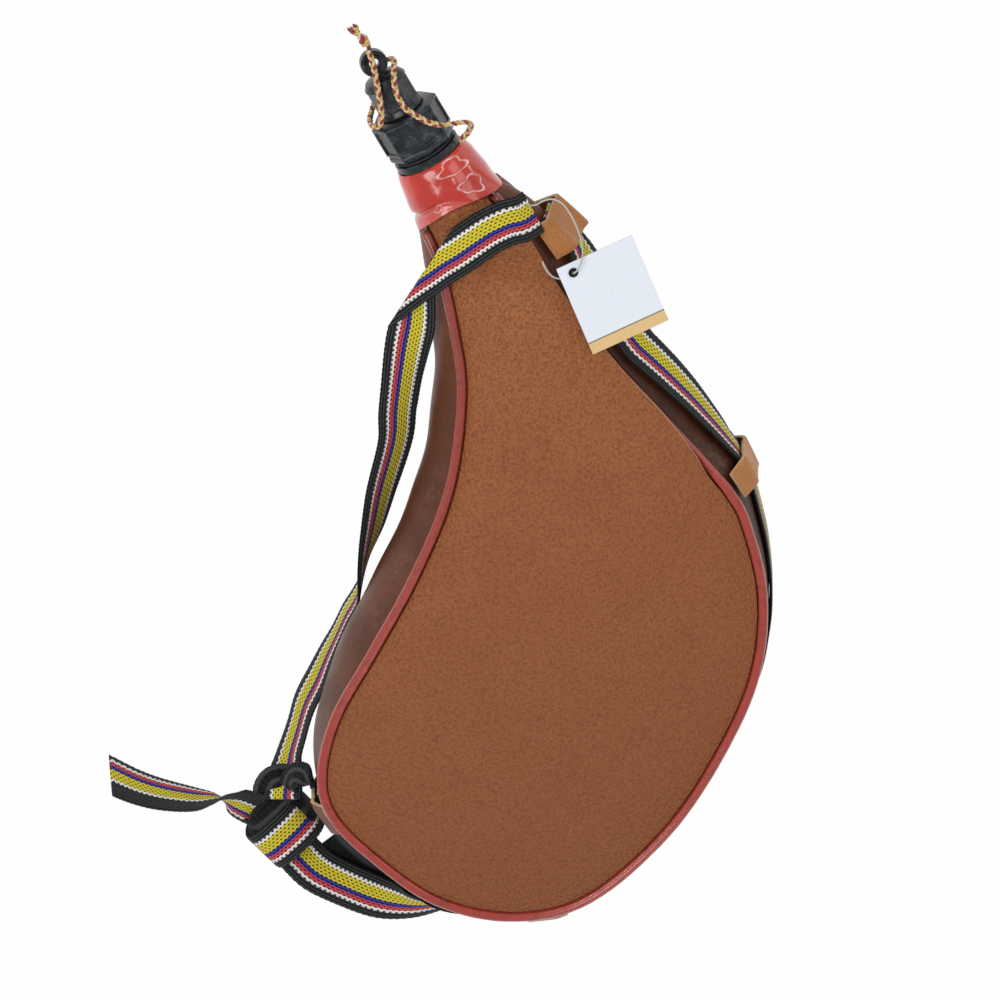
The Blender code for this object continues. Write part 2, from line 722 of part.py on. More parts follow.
def make_collar(axis):
    """The bored collar: barbed stem in the neck, flange on the wrap, and the mouthpiece's spigot."""
    top = FLANGE_THICKNESS + SPIGOT_HEIGHT
    barb = STEM_LENGTH / 4
    chamfer = STEM_RADIUS - BORE_RADIUS
    profile = [
        (SPIGOT_RADIUS - STEM_BARB * 2, top),
        (SPIGOT_RADIUS, top - STEM_BARB * 2),
        (SPIGOT_RADIUS, FLANGE_THICKNESS),
        (FLANGE_RADIUS, FLANGE_THICKNESS),
        (FLANGE_RADIUS, 0),
        (STEM_RADIUS - STEM_BARB, 0),
        (STEM_RADIUS - STEM_BARB, -barb),
        (STEM_RADIUS, -barb),
        (STEM_RADIUS - STEM_BARB * 2, -2 * barb),
        (STEM_RADIUS, -2 * barb),
        (STEM_RADIUS - STEM_BARB * 2, -3 * barb),
        (STEM_RADIUS, -3 * barb),
        (BORE_RADIUS + chamfer / 3, -STEM_LENGTH),
        (BORE_RADIUS, -STEM_LENGTH),
        (BORE_RADIUS, top),
    ]
    turned("collar", profile, "black_plastic", axis)


def washer(name, outer, inner, low, high, material_name, parent):
    profile = [(outer, high), (outer, low), (inner, low), (inner, high)]
    return turned(name, profile, material_name, parent)


def make_mouthpiece(axis):
    """The octagonal mouthpiece, hollow as a funnel, with a threaded socket below and a bored spout above."""
    foot = OCTAGON_RADIUS * 0.92
    step = LIP_HEIGHT / 4
    body = [
        (0, OCTAGON_HEIGHT),
        (SHOULDER_RADIUS, OCTAGON_HEIGHT),
        ((SHOULDER_RADIUS + OCTAGON_RADIUS) / 2, OCTAGON_HEIGHT - SHOULDER_HEIGHT / 4),
        (OCTAGON_RADIUS, OCTAGON_HEIGHT - SHOULDER_HEIGHT),
        (OCTAGON_RADIUS, LIP_HEIGHT),
        (OCTAGON_RADIUS - PANEL_DEPTH, LIP_HEIGHT - step / 2),
        (OCTAGON_RADIUS - PANEL_DEPTH, LIP_HEIGHT - step),
        (OCTAGON_RADIUS - PANEL_DEPTH / 2, LIP_HEIGHT - 1.5 * step),
        (OCTAGON_RADIUS - PANEL_DEPTH / 2, step),
        (foot, 0),
        (0, 0),
    ]
    thing = turned("mouthpiece", body, "black_plastic", axis, steps=8, closed=False)
    thing.rotation_euler = (0, 0, OCTAGON_TURN)
    cut(thing, make_panel_cutter(axis))
    spout = [
        (0, OCTAGON_HEIGHT + SPOUT_HEIGHT),
        (SPOUT_RADIUS - JET_RADIUS, OCTAGON_HEIGHT + SPOUT_HEIGHT),
        (SPOUT_RADIUS, OCTAGON_HEIGHT + SPOUT_HEIGHT - JET_RADIUS),
        (SPOUT_RADIUS, OCTAGON_HEIGHT - SHOULDER_HEIGHT),
        (0, OCTAGON_HEIGHT - SHOULDER_HEIGHT),
    ]
    cut(thing, turned("spout_join", spout, "black_plastic", axis, cutter=True, closed=False), "UNION")
    socket = SPIGOT_RADIUS + CLEARANCE
    throat = SOCKET_DEPTH + FUNNEL_HEIGHT
    top = OCTAGON_HEIGHT + SPOUT_HEIGHT
    bore = [
        (0, top + JET_LENGTH),
        (JET_RADIUS, top + JET_LENGTH),
        (JET_RADIUS, top - JET_LENGTH),
        (THROAT_RADIUS, top - JET_LENGTH),
        (THROAT_RADIUS, throat),
        (FUNNEL_RADIUS, SOCKET_DEPTH),
        (socket, SOCKET_DEPTH),
        (socket, -LIP_HEIGHT),
        (0, -LIP_HEIGHT),
    ]
    cut(thing, turned("mouthpiece_bore", bore, "black_plastic", axis, cutter=True, closed=False))
    return thing


def make_panel_cutter(axis):
    """Eight shallow blocks that sink a panel into each facet of the octagon, in one mesh."""
    facet = OCTAGON_RADIUS * math.cos(math.pi / 8)
    side = 2 * OCTAGON_RADIUS * math.sin(math.pi / 8) - 2 * PANEL_MARGIN
    low = LIP_HEIGHT + PANEL_MARGIN
    high = OCTAGON_HEIGHT - SHOULDER_HEIGHT - PANEL_MARGIN
    bm = bmesh.new()
    for k in range(8):
        made = bmesh.ops.create_cube(bm, size=1)["verts"]
        turn = math.pi / 4 * (k + 0.5) + OCTAGON_TURN
        for v in made:
            x = facet + (v.co.x if v.co.x > 0 else v.co.x * 2) * PANEL_DEPTH * (1 if v.co.x < 0 else 4)
            y = v.co.y * side
            z = low + (v.co.z + 0.5) * (high - low)
            turned_x = x * math.cos(turn) - y * math.sin(turn)
            turned_y = x * math.sin(turn) + y * math.cos(turn)
            v.co = Vector((turned_x, turned_y, z))
    mesh = bpy.data.meshes.new("facet_panels")
    bm.to_mesh(mesh)
    bm.free()
    return add_object("facet_panels", mesh, "black_plastic", axis, cutter=True)


def make_cap(axis):
    """The hexagonal screw cap with its round foot, rim, domed top and the ring that the tether is tied to."""
    flat = HEX_RADIUS * math.cos(math.pi / 6)
    dome = CAP_HEIGHT - DOME_HEIGHT
    body = [
        (0, CAP_HEIGHT),
        (CAP_TOP_RADIUS * 0.5, CAP_HEIGHT - DOME_HEIGHT * 0.08),
        (CAP_TOP_RADIUS, CAP_HEIGHT - DOME_HEIGHT * 0.3),
        (CAP_RIM_RADIUS, dome),
        (CAP_RIM_RADIUS, dome - RING_DISH * 0.6),
        (flat, dome - RING_DISH),
        (flat, CAP_FOOT_HEIGHT * 1.4),
        (CAP_RIM_RADIUS, CAP_FOOT_HEIGHT),
        (CAP_FOOT_RADIUS, CAP_FOOT_HEIGHT * 0.3),
        (CAP_FOOT_RADIUS, 0),
        (0, 0),
    ]
    thing = turned("cap", body, "black_plastic", axis, closed=False)
    sides = [(0, dome), (HEX_RADIUS, dome), (HEX_RADIUS, CAP_FOOT_HEIGHT / 2), (0, CAP_FOOT_HEIGHT / 2)]
    prism = turned("cap_sides", sides, "black_plastic", axis, steps=6, cutter=True, closed=False)
    prism.rotation_euler = (0, 0, HEX_TURN)
    cut(thing, prism, "UNION")
    neck = [
        (0, CAP_HEIGHT + RING_RISE - EYE_RADIUS * 1.3),
        (RING_NECK_RADIUS, CAP_HEIGHT + RING_RISE - EYE_RADIUS * 1.3),
        (RING_NECK_RADIUS, CAP_HEIGHT - DOME_HEIGHT / 2),
        (0, CAP_HEIGHT - DOME_HEIGHT / 2),
    ]
    cut(thing, turned("ring_neck", neck, "black_plastic", axis, steps=16, cutter=True, closed=False), "UNION")
    cut(thing, make_ring(axis), "UNION")
    inner = SPOUT_RADIUS + CLEARANCE
    ceiling = SPOUT_HEIGHT - CAP_GAP + LINER_THICKNESS + 2 * CLEARANCE
    hollow = [(0, ceiling), (inner, ceiling), (inner, -CAP_FOOT_HEIGHT), (0, -CAP_FOOT_HEIGHT)]
    cut(thing, turned("cap_hollow", hollow, "black_plastic", axis, cutter=True, closed=False))
    return thing


def make_ring(axis):
    """The flat ring on the cap, with dished faces, turned about the axis of its own eye."""
    half = RING_WIDTH / 2
    web = half - RING_DISH
    profile = [
        (RING_RADIUS - RING_DISH / 2, half),
        (RING_RADIUS, half - RING_DISH / 2),
        (RING_RADIUS, -half + RING_DISH / 2),
        (RING_RADIUS - RING_DISH / 2, -half),
        (RING_RADIUS - RING_DISH * 1.6, -half),
        (EYE_RADIUS + RING_DISH, -web),
        (EYE_RADIUS, -web),
        (EYE_RADIUS, web),
        (EYE_RADIUS + RING_DISH, web),
        (RING_RADIUS - RING_DISH * 1.6, half),
    ]
    ring = turned("cap_ring", profile, "black_plastic", axis, steps=24, cutter=True)
    ring.location = (0, 0, CAP_HEIGHT + RING_RISE)
    ring.rotation_euler = (math.pi / 2, 0, OCTAGON_TURN)
    return ring


def make_wrap(axis):
    """The vinyl sleeve over the binding: a thin turned sleeve that swells, pinches and flares to the bag."""
    low = -WRAP_LENGTH
    outer = [
        (WRAP_TOP_RADIUS, -CLEARANCE),
        ((WRAP_TOP_RADIUS + WRAP_BULGE_RADIUS) / 2, low * 0.08),
        (WRAP_BULGE_RADIUS, low * 0.28),
        (WRAP_BULGE_RADIUS, low * 0.48),
        (WRAP_PINCH_RADIUS, low * 0.70),
        ((WRAP_PINCH_RADIUS + WRAP_FOOT_RADIUS) / 2, low * 0.88),
        (WRAP_FOOT_RADIUS, low),
    ]
    inner = [(r - WRAP_WALL, z) for r, z in reversed(outer)]
    turned("neck_wrap", outer + inner, "red_vinyl", axis)


def make_binding(axis):
    """The waxed cord wound tight round the leather over the collar's stem, in one unbroken helix."""
    per_turn = 16
    radius = (NECK_RADIUS + CLEARANCE + BINDING_CORD / 2) / math.cos(math.pi / per_turn)
    points = []
    for k in range(BINDING_TURNS * per_turn + 1):
        turn = 2 * math.pi * k / per_turn
        drop = BINDING_TOP + BINDING_PITCH * k / per_turn
        points.append((radius * math.cos(turn), radius * math.sin(turn), -drop))
    tube("neck_binding", points, BINDING_CORD / 2, "binding_cord", axis, resolution=1)
    print("binding gap between turns in mm:", round((BINDING_PITCH - BINDING_CORD) * 1000, 2))


def ribbon(name, places, faces, width, thickness, material_name):
    """A flat band along a row of places, its face looking the given ways."""
    bm = bmesh.new()
    rings = []
    for i, place in enumerate(places):
        along = (places[min(i + 1, len(places) - 1)] - places[max(i - 1, 0)]).normalized()
        side = along.cross(faces[i]).normalized()
        up = side.cross(along).normalized()
        corners = [(1, 1), (-1, 1), (-1, -1), (1, -1)]
        halves = [(side * (a * width / 2), up * (b * thickness / 2)) for a, b in corners]
        rings.append([bm.verts.new(place + across + over) for across, over in halves])
    for one, two in zip(rings, rings[1:]):
        for k in range(4):
            bm.faces.new([one[k], one[(k + 1) % 4], two[(k + 1) % 4], two[k]])
    bm.faces.new(rings[0])
    bm.faces.new(list(reversed(rings[-1])))
    bmesh.ops.triangulate(bm, faces=bm.faces)
    bmesh.ops.recalc_face_normals(bm, faces=bm.faces)
    mesh = bpy.data.meshes.new(name)
    bm.to_mesh(mesh)
    bm.free()
    return add_object(name, mesh, material_name)


def free_run(name, shares, steps=2, folds=1):
    """A stretch of the strap through the air or on the ground, flat or folded lengthwise."""
    rows = smooth_rows(shares, steps)
    places = [Vector((r[0] * BAG_WIDTH, r[1] * BAG_LENGTH, r[2] * NECK_HEIGHT)) for r in rows]
    faces = [Vector(r[3:6]) for r in rows]
    return ribbon(name, places, faces, STRAP_WIDTH / folds, STRAP_THICKNESS * folds, "webbing")


def wall_place(station, c, off):
    """A point that far off the gusset, at c from 1 (front seam) to -1 (back seam), and the way out of it."""
    half = station["rise"]
    bulge = station["bulge"]
    out = station["out"]
    slope = 2 * bulge * c / half
    away = Vector((out.x, out.y, slope)).normalized()
    flat = station["point"] + out * bulge * (1 - c * c)
    return Vector((flat.x, flat.y, NECK_HEIGHT + half * c)) + away * off, away


def station_at(share):
    """The station at a share of the outline, between the made ones."""
    where = share * (len(STATIONS) - 1)
    low = min(int(where), len(STATIONS) - 2)
    t = where - low
    a, b = STATIONS[low], STATIONS[low + 1]
    mixed = {k: a[k] + (b[k] - a[k]) * t for k in ("place", "bulge", "rise", "tuck", "welt", "slack")}
    mixed["point"] = a["point"].lerp(b["point"], t)
    mixed["out"] = a["out"].lerp(b["out"], t).normalized()
    return mixed


def share_near(place):
    """The share of the outline that lies nearest to a place."""
    target = Vector((place[0] * BAG_WIDTH, place[1] * BAG_LENGTH))
    fine = 10 * (len(STATIONS) - 1)
    return min((k / fine for k in range(fine + 1)), key=lambda s: (station_at(s)["point"] - target).length)


def wall_height(share):
    """How high on the wall the strap runs: on its upper slope by the tag, at mid height round the bottom."""
    for (low, one), (high, two) in zip(WALL_HEIGHT_SHARES, WALL_HEIGHT_SHARES[1:]):
        if share <= high:
            return one + (two - one) * (share - low) / (high - low)
    return WALL_HEIGHT_SHARES[-1][1]


def make_wall_run(name):
    """The strap along the gusset between two places of the outline, held off the wall by its own gap."""
    first, last = (share_near(place) for place in WALL_END_SHARES[name])
    steps = max(6, round(WALL_ROWS * abs(last - first) * len(STATIONS)))
    places, faces = [], []
    for k in range(steps + 1):
        share = first + (last - first) * k / steps
        place, away = wall_place(station_at(share), wall_height(share), STRAP_OFF)
        places.append(place)
        faces.append(away)
    return ribbon(name, places, faces, STRAP_WIDTH, STRAP_THICKNESS, "webbing")


def make_loop(name, place):
    """A leather loop sewn to the wall near both seams, and drawn flat over the strap between them."""
    share = share_near(place)
    span = len(STATIONS) - 1
    step = (station_at(share + 1 / span)["point"] - station_at(share)["point"]).length
    half = LOOP_WIDTH / 2 / step / span
    lift = STRAP_OFF + STRAP_THICKNESS / 2 + LOOP_LEATHER / 2 + 2 * CLEARANCE
    low = LOOP_LEATHER / 2 + 2 * CLEARANCE
    reach = STRAP_WIDTH / 2 + LOOP_LEATHER
    rows = []
    for side in LOOP_ROW_SHARES:
        station = station_at(share + side * half)
        middle, away = wall_place(station, wall_height(share), lift)
        along = Vector((-station["out"].y, station["out"].x, 0))
        up = away.cross(along)
        up *= 1 if up.z > 0 else -1
        over = [middle + up * (reach * k / 2) for k in (2, 1, 0, -1, -2)]
        ends = [wall_place(station, end, low)[0] for end in (LOOP_END_SHARE, -LOOP_END_SHARE)]
        rows.append(ends[:1] + over + ends[1:])
    bm = bmesh.new()
    add_grid(bm, rows)
    bm.normal_update()
    thing = shell(name, finish_mesh(bm, name), LOOP_LEATHER, "loop_leather")
    thing.modifiers["wall"].offset = 0
    return thing


def swelling_tube(name, rows, radius, material_name, parent=None):
    """A tube whose radius is the given share of its own at each point."""
    thing = tube(name, [row[:3] for row in rows], radius, material_name, parent)
    for place, row in zip(thing.data.splines[0].points, rows):
        place.radius = row[3]
    return thing


def world_child(thing, parent):
    """Parents a piece that was placed in the world, and leaves it where it is."""
    bpy.context.view_layer.update()
    thing.parent = parent
    thing.matrix_parent_inverse = parent.matrix_world.inverted()


def placed(shares):
    x, y, z = shares
    return Vector((x * BAG_WIDTH, y * BAG_LENGTH, z * NECK_HEIGHT))


def make_strap_knot():
    """The overhand knot of the strap: a rounded heart with two bands of webbing drawn round it."""
    bm = bmesh.new()
    bmesh.ops.create_uvsphere(bm, u_segments=20, v_segments=10, radius=0.5)
    for v in bm.verts:
        v.co = Vector((v.co.x * STRAP_KNOT_LENGTH, v.co.y * STRAP_KNOT_WIDTH, v.co.z * STRAP_KNOT_HEIGHT))
    mesh = bpy.data.meshes.new("strap_knot")
    bm.to_mesh(mesh)
    bm.free()
    mesh.shade_smooth()
    thing = add_object("strap_knot", mesh, "webbing")
    thing.location = placed(STRAP_KNOT_PLACE_SHARES)
    thing.rotation_euler = (0, 0, STRAP_KNOT_YAW)
    for k, (turn, share, across) in enumerate(KNOT_BAND_SHARES):
        outer = STRAP_KNOT_WIDTH / 2 * share
        inner = outer / 2
        half = STRAP_WIDTH / 2 * across
        edge = STRAP_THICKNESS
        profile = [
            (outer - edge, half),
            (outer, half - edge),
            (outer, edge - half),
            (outer - edge, -half),
            (inner, -half),
            (inner, half),
        ]
        band = turned("knot_band_%d" % k, profile, "webbing", None, steps=20, cutter=True)
        band.scale = (STRAP_KNOT_HEIGHT / STRAP_KNOT_WIDTH, 1, 1)
        band.location = thing.location
        band.rotation_euler = (0, math.pi / 2, STRAP_KNOT_YAW + turn)
        cut(thing, band, "UNION")


def make_tag():
    """The card hung on its eyelet, and the eyelet: a barrel through the card with a flange on each face."""
    axis = add_empty("tag_axis", placed(TAG_PLACE_SHARES), (TAG_PITCH, TAG_ROLL, TAG_YAW))
    axis.rotation_mode = "XYZ"
    bm = bmesh.new()
    bmesh.ops.create_cube(bm, size=1)
    for v in bm.verts:
        x = (v.co.x + 0.5) * TAG_WIDTH - TAG_HOLE_SIDE
        y = (v.co.y - 0.5) * TAG_HEIGHT + TAG_HOLE_TOP
        v.co = Vector((x, y, v.co.z * TAG_CARD))
    mesh = bpy.data.meshes.new("hang_tag")
    bm.to_mesh(mesh)
    bm.free()
    card = add_object("hang_tag", mesh, "tag_card", axis)
    hole = EYELET_BARREL + CLEARANCE / 2
    punch = [(0, TAG_CARD), (hole, TAG_CARD), (hole, -TAG_CARD), (0, -TAG_CARD)]
    cut(card, turned("tag_punch", punch, "tag_card", axis, steps=16, cutter=True, closed=False))
    face = TAG_CARD / 2 + CLEARANCE / 2
    top = face + EYELET_FLANGE
    profile = [
        (EYELET_RADIUS, top),
        (EYELET_RADIUS, face),
        (EYELET_BARREL, face),
        (EYELET_BARREL, -face),
        (EYELET_RADIUS, -face),
        (EYELET_RADIUS, -top),
        (EYELET_HOLE, -top),
        (EYELET_HOLE, top),
    ]
    turned("tag_eyelet", profile, "eyelet_metal", axis, steps=16)


def build():
    global STATIONS, SPINE
    STATIONS = outline_stations()
    SPINE = spine_rows()
    make_panel("front_panel", 1)
    make_panel("back_panel", -1)
    make_gusset()
    make_bladder()
    make_piping("front_piping", 1)
    make_piping("back_piping", -1)
    axis = add_empty("neck_axis", (NECK_X, COLLAR_Y, NECK_HEIGHT), (-math.pi / 2, 0, 0))
    make_collar(axis)
    make_wrap(axis)
    make_binding(axis)
    gasket_low = FLANGE_THICKNESS + GASKET_GAP
    gasket_top = gasket_low + GASKET_THICKNESS
    gasket_bore = SPIGOT_RADIUS + CLEARANCE
    washer("collar_gasket", GASKET_RADIUS, gasket_bore, gasket_low, gasket_top, "seal_rubber", axis)
    mouth_z = gasket_top + GASKET_GAP
    mouth_axis = add_empty("mouthpiece_axis", (0, 0, mouth_z), (0, 0, 0), axis)
    make_mouthpiece(mouth_axis)
    cap_axis = add_empty("cap_axis", (0, 0, OCTAGON_HEIGHT + CAP_GAP), (0, 0, 0), mouth_axis)
    make_cap(cap_axis)
    liner_low = SPOUT_HEIGHT - CAP_GAP + CLEARANCE
    liner = [
        (0, liner_low + LINER_THICKNESS),
        (SPOUT_RADIUS - CLEARANCE, liner_low + LINER_THICKNESS),
        (SPOUT_RADIUS - CLEARANCE, liner_low),
        (0, liner_low),
    ]
    turned("cap_liner", liner, "seal_rubber", cap_axis, closed=False)
    free_run("strap_front_run", FRONT_RUN_SHARES)
    make_wall_run("strap_wall_run")
    make_wall_run("strap_left_wall")
    free_run("strap_lower_run", LOWER_RUN_SHARES)
    free_run("strap_side_run", SIDE_RUN_SHARES, folds=2)
    free_run("strap_tail", TAIL_SHARES)
    free_run("strap_back_run", BACK_RUN_SHARES)
    for name, place in LOOP_PLACE_SHARES.items():
        make_loop(name, place)
    make_strap_knot()
    make_tag()
    spacing = 3 * TETHER_RADIUS
    tube("tag_thread", even_rows(TAG_THREAD_ROUTE, 6 * THREAD_RADIUS), THREAD_RADIUS, "tag_thread")
    tube("tether_cord", even_rows(TETHER_ROUTE, spacing), TETHER_RADIUS, "tether_braid")
    knot_rows = even_rows(TETHER_KNOT_ROUTE, spacing / 2)
    knot = swelling_tube("tether_knot", knot_rows, TETHER_RADIUS, "tether_braid")
    world_child(knot, cap_axis)


clear_scene()
PARTS = make_collection("leather_bota_bag")
CUTTERS = make_collection("cutters", hidden=True)
STATIONS = []
SPINE = []
build()
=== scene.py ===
"""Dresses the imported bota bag: leather body, vinyl neck, moulded nozzle, braided tether, striped webbing and tag."""

import math

import bmesh
import bpy
import numpy as np
from mathutils import Matrix, Vector


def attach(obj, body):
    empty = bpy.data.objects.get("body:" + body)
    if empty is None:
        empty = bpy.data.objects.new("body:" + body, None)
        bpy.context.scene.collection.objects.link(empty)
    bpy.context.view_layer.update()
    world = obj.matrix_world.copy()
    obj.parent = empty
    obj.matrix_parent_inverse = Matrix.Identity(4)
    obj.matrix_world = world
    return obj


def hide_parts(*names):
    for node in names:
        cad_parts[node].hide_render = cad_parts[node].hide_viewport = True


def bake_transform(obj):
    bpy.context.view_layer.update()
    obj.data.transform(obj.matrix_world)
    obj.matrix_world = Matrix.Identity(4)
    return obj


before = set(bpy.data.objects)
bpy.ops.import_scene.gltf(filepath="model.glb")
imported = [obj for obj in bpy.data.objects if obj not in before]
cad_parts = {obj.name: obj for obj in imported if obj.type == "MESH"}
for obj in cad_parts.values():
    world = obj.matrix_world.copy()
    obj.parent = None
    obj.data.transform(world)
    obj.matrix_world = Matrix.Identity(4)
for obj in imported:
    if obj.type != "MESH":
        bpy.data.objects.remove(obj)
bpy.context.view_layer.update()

# The bag's measures, in metres
WIDTH, LENGTH = 0.233, 0.317
GUSSET_HEIGHT, GUSSET_BULGE = 0.054, 0.015
NECK_HEIGHT, CROWN = 0.033, 0.037
LEATHER, GUSSET_LEATHER = 0.0020, 0.0018
PIPING_RADIUS, SEAM_GAP = 0.0022, 0.0004
NECK_RADIUS, FLARE_RADIUS = 0.0144, 0.0195
NECK_LENGTH, FLARE_LENGTH = 0.0155, 0.0240
NECK_X, COLLAR_Y = 0.335 * WIDTH, 0.7432 * LENGTH
SEAM = math.radians(30)
STRAP_WIDTH, STRAP_THICKNESS = 0.0200, 0.0014
STRAP_OFF = STRAP_THICKNESS / 2 + 0.0010
LOOP_WIDTH, LOOP_LEATHER = 0.0160, 0.0018
TETHER_RADIUS, THREAD_RADIUS = 0.00145, 0.0004
TAG_PLACE = np.array((0.485 * WIDTH, 0.530 * LENGTH, 2.03 * NECK_HEIGHT))

# Outline stations: x, y, place along the spine, bulge, rise, tuck over the piping, piping
STATIONS = [
    (0.2575, 0.615, 0.115, 0.50, 0.54, 0.0, 1.0), (0.223, 0.527, 0.20, 0.72, 0.72, 0.0, 1.0),
    (0.172, 0.435, 0.30, 0.84, 0.86, 0.0, 1.0), (0.060, 0.322, 0.44, 0.86, 0.96, 0.0, 1.0),
    (-0.082, 0.233, 0.58, 0.84, 1.0, 0.0, 1.0), (-0.227, 0.161, 0.72, 0.80, 1.0, 0.0, 1.0),
    (-0.352, 0.101, 0.86, 0.48, 1.0, 0.0, 1.0), (-0.433, 0.035, 0.95, 0.28, 1.0, 0.0, 1.0),
    (-0.457, -0.025, 1.0, 0.26, 1.0, 0.0, 1.0), (-0.433, -0.104, 1.0, 0.30, 1.0, 0.0, 1.0),
    (-0.369, -0.208, 1.0, 0.30, 1.0, 0.0, 1.0), (-0.258, -0.281, 1.0, 0.30, 1.0, 0.0, 1.0),
    (-0.116, -0.308, 1.0, 0.30, 1.0, 0.0, 1.0), (0.077, -0.274, 1.0, 0.26, 1.0, 0.0, 1.0),
    (0.245, -0.207, 1.0, 0.22, 1.0, 0.0, 1.0), (0.382, -0.126, 1.0, 0.18, 1.0, 0.0, 1.0),
    (0.472, -0.028, 1.0, 0.18, 1.0, 0.0, 1.0), (0.515, 0.076, 1.0, 0.28, 1.0, 0.0, 1.0),
    (0.519, 0.126, 1.0, 0.42, 1.0, 0.0, 1.0), (0.511, 0.167, 0.95, 0.58, 1.0, 0.25, 1.0),
    (0.498, 0.221, 0.86, 0.75, 1.0, 0.7, 1.0), (0.479, 0.290, 0.72, 0.96, 0.98, 1.0, 1.0),
    (0.457, 0.363, 0.58, 1.08, 0.95, 1.0, 1.0), (0.442, 0.438, 0.44, 1.12, 0.90, 1.0, 1.0),
    (0.431, 0.514, 0.30, 1.08, 0.78, 1.0, 1.0), (0.429, 0.574, 0.20, 0.80, 0.64, 0.9, 1.0),
    (0.425, 0.618, 0.115, 0.50, 0.54, 0.5, 1.0),
]
# The spine under the crowns: place along it, x, y, crown
SPINE = [
    (0.115, 0.339, 0.617, 0.554), (0.20, 0.330, 0.549, 0.69), (0.30, 0.309, 0.473, 0.81),
    (0.44, 0.249, 0.356, 0.92), (0.58, 0.180, 0.237, 0.97), (0.72, 0.120, 0.142, 1.0),
    (0.86, 0.073, 0.063, 1.0), (0.95, 0.043, -0.006, 1.0), (1.0, 0.026, -0.044, 1.0),
]
# Free runs of the strap: x, y, z, and the way its face looks. The first is folded over the start of the next
CROSSING_RUN = [
    (0.463, 0.615, 1.46, 0.60, 0.10, 0.79), (0.442, 0.618, 1.60, 0.45, 0.15, 0.88),
    (0.416, 0.6265, 1.69, 0.18, 0.20, 0.96), (0.378, 0.629, 1.73, 0.05, 0.20, 0.98),
    (0.343, 0.6265, 1.74, 0.0, 0.20, 0.98), (0.302, 0.6218, 1.715, -0.12, 0.20, 0.97),
    (0.266, 0.6180, 1.66, -0.34, 0.20, 0.91), (0.232, 0.6120, 1.59, -0.38, 0.20, 0.90),
    (0.193, 0.6069, 1.54, -0.38, 0.20, 0.90), (0.156, 0.6009, 1.495, -0.38, 0.20, 0.90),
    (0.110, 0.5930, 1.44, -0.38, 0.20, 0.90),
]
LONG_RUN = [
    (0.2620, 0.6900, 1.49, -0.38, 0.20, 0.90), (0.2330, 0.6483, 1.485, -0.38, 0.20, 0.90),
    (0.2100, 0.6197, 1.479, -0.38, 0.20, 0.90), (0.1840, 0.5858, 1.460, -0.38, 0.16, 0.91),
    (0.156, 0.5521, 1.412, -0.30, 0.05, 0.95), (0.121, 0.521, 1.34, 0.25, 0.10, 0.96),
    (0.078, 0.480, 1.25, 0.50, 0.02, 0.86), (0.035, 0.436, 1.15, 0.57, -0.03, 0.82),
    (-0.002, 0.394, 1.045, 0.63, -0.10, 0.77), (-0.078, 0.332, 0.85, 0.68, -0.18, 0.70),
    (-0.137, 0.280, 0.68, 0.75, -0.32, 0.55), (-0.187, 0.238, 0.56, 0.81, -0.48, 0.28),
    (-0.2230, 0.2030, 0.45, 0.81, -0.58, 0.05), (-0.2470, 0.1875, 0.39, 0.80, -0.59, -0.06),
    (-0.2760, 0.1735, 0.36, 0.79, -0.60, -0.12), (-0.3140, 0.1517, 0.335, 0.76, -0.64, -0.16),
    (-0.3510, 0.1312, 0.32, 0.69, -0.67, -0.26), (-0.3882, 0.1090, 0.315, 0.63, -0.68, -0.36),
    (-0.4333, 0.0846, 0.315, 0.61, -0.69, -0.39), (-0.4720, 0.0555, 0.32, 0.61, -0.69, -0.38),
    (-0.5060, 0.0310, 0.36, 0.58, -0.68, -0.45), (-0.5300, 0.0110, 0.47, 0.45, -0.55, -0.70),
    (-0.5389, 0.0028, 0.55, 0.40, -0.50, -0.76), (-0.5550, -0.0126, 0.67, 0.40, -0.45, -0.80),
]
LOWER_RUN = [
    (-0.5920, -0.0800, 0.36, 0.10, 0.0, 0.99), (-0.5899, -0.1054, 0.321, 0.10, 0.0, 0.99),
    (-0.5880, -0.117, 0.30, 0.10, 0.0, 0.99), (-0.577, -0.146, 0.28, 0.10, 0.0, 0.99),
    (-0.546, -0.183, 0.26, 0.0, 0.0, 1.0), (-0.505, -0.220, 0.28, -0.05, -0.10, 0.99),
    (-0.458, -0.243, 0.40, -0.20, -0.40, 0.89), (-0.411, -0.253, 0.62, -0.40, -0.70, 0.58),
    (-0.374, -0.2610, 0.86, -0.50, -0.84, 0.18), (-0.346, -0.2660, 0.97, -0.48, -0.87, 0.0),
    (-0.3235, -0.2710, 1.0, -0.48, -0.87, 0.0),
]
BACK_RUN = [
    (-0.5450, -0.115, 0.216, 0.05, 0.0, 1.0), (-0.538, -0.148, 0.12, 0.0, 0.0, 1.0),
    (-0.521, -0.188, 0.07, 0.0, 0.0, 1.0), (-0.488, -0.216, 0.09, 0.0, 0.0, 1.0),
    (-0.456, -0.222, 0.15, -0.20, -0.25, 0.95), (-0.436, -0.212, 0.30, -0.45, -0.50, 0.70),
    (-0.4295, -0.198, 0.48, -0.72, -0.58, 0.35), (-0.4270, -0.1905, 0.75, -0.82, -0.55, 0.12),
    (-0.4248, -0.1840, 0.97, -0.83, -0.56, 0.0),
]
TAIL = [
    (-0.824, 0.121, 0.32, 0.66, 0.53, 0.50), (-0.795, 0.090, 0.32, 0.69, 0.56, 0.45),
    (-0.760, 0.0625, 0.32, 0.72, 0.58, 0.35), (-0.711, 0.034, 0.32, 0.76, 0.61, 0.15),
    (-0.676, 0.021, 0.33, 0.76, 0.61, -0.14), (-0.654, 0.011, 0.34, 0.63, 0.50, -0.57),
    (-0.638, -0.002, 0.34, 0.38, 0.30, -0.86), (-0.612, -0.026, 0.38, 0.30, 0.25, -0.90),
]
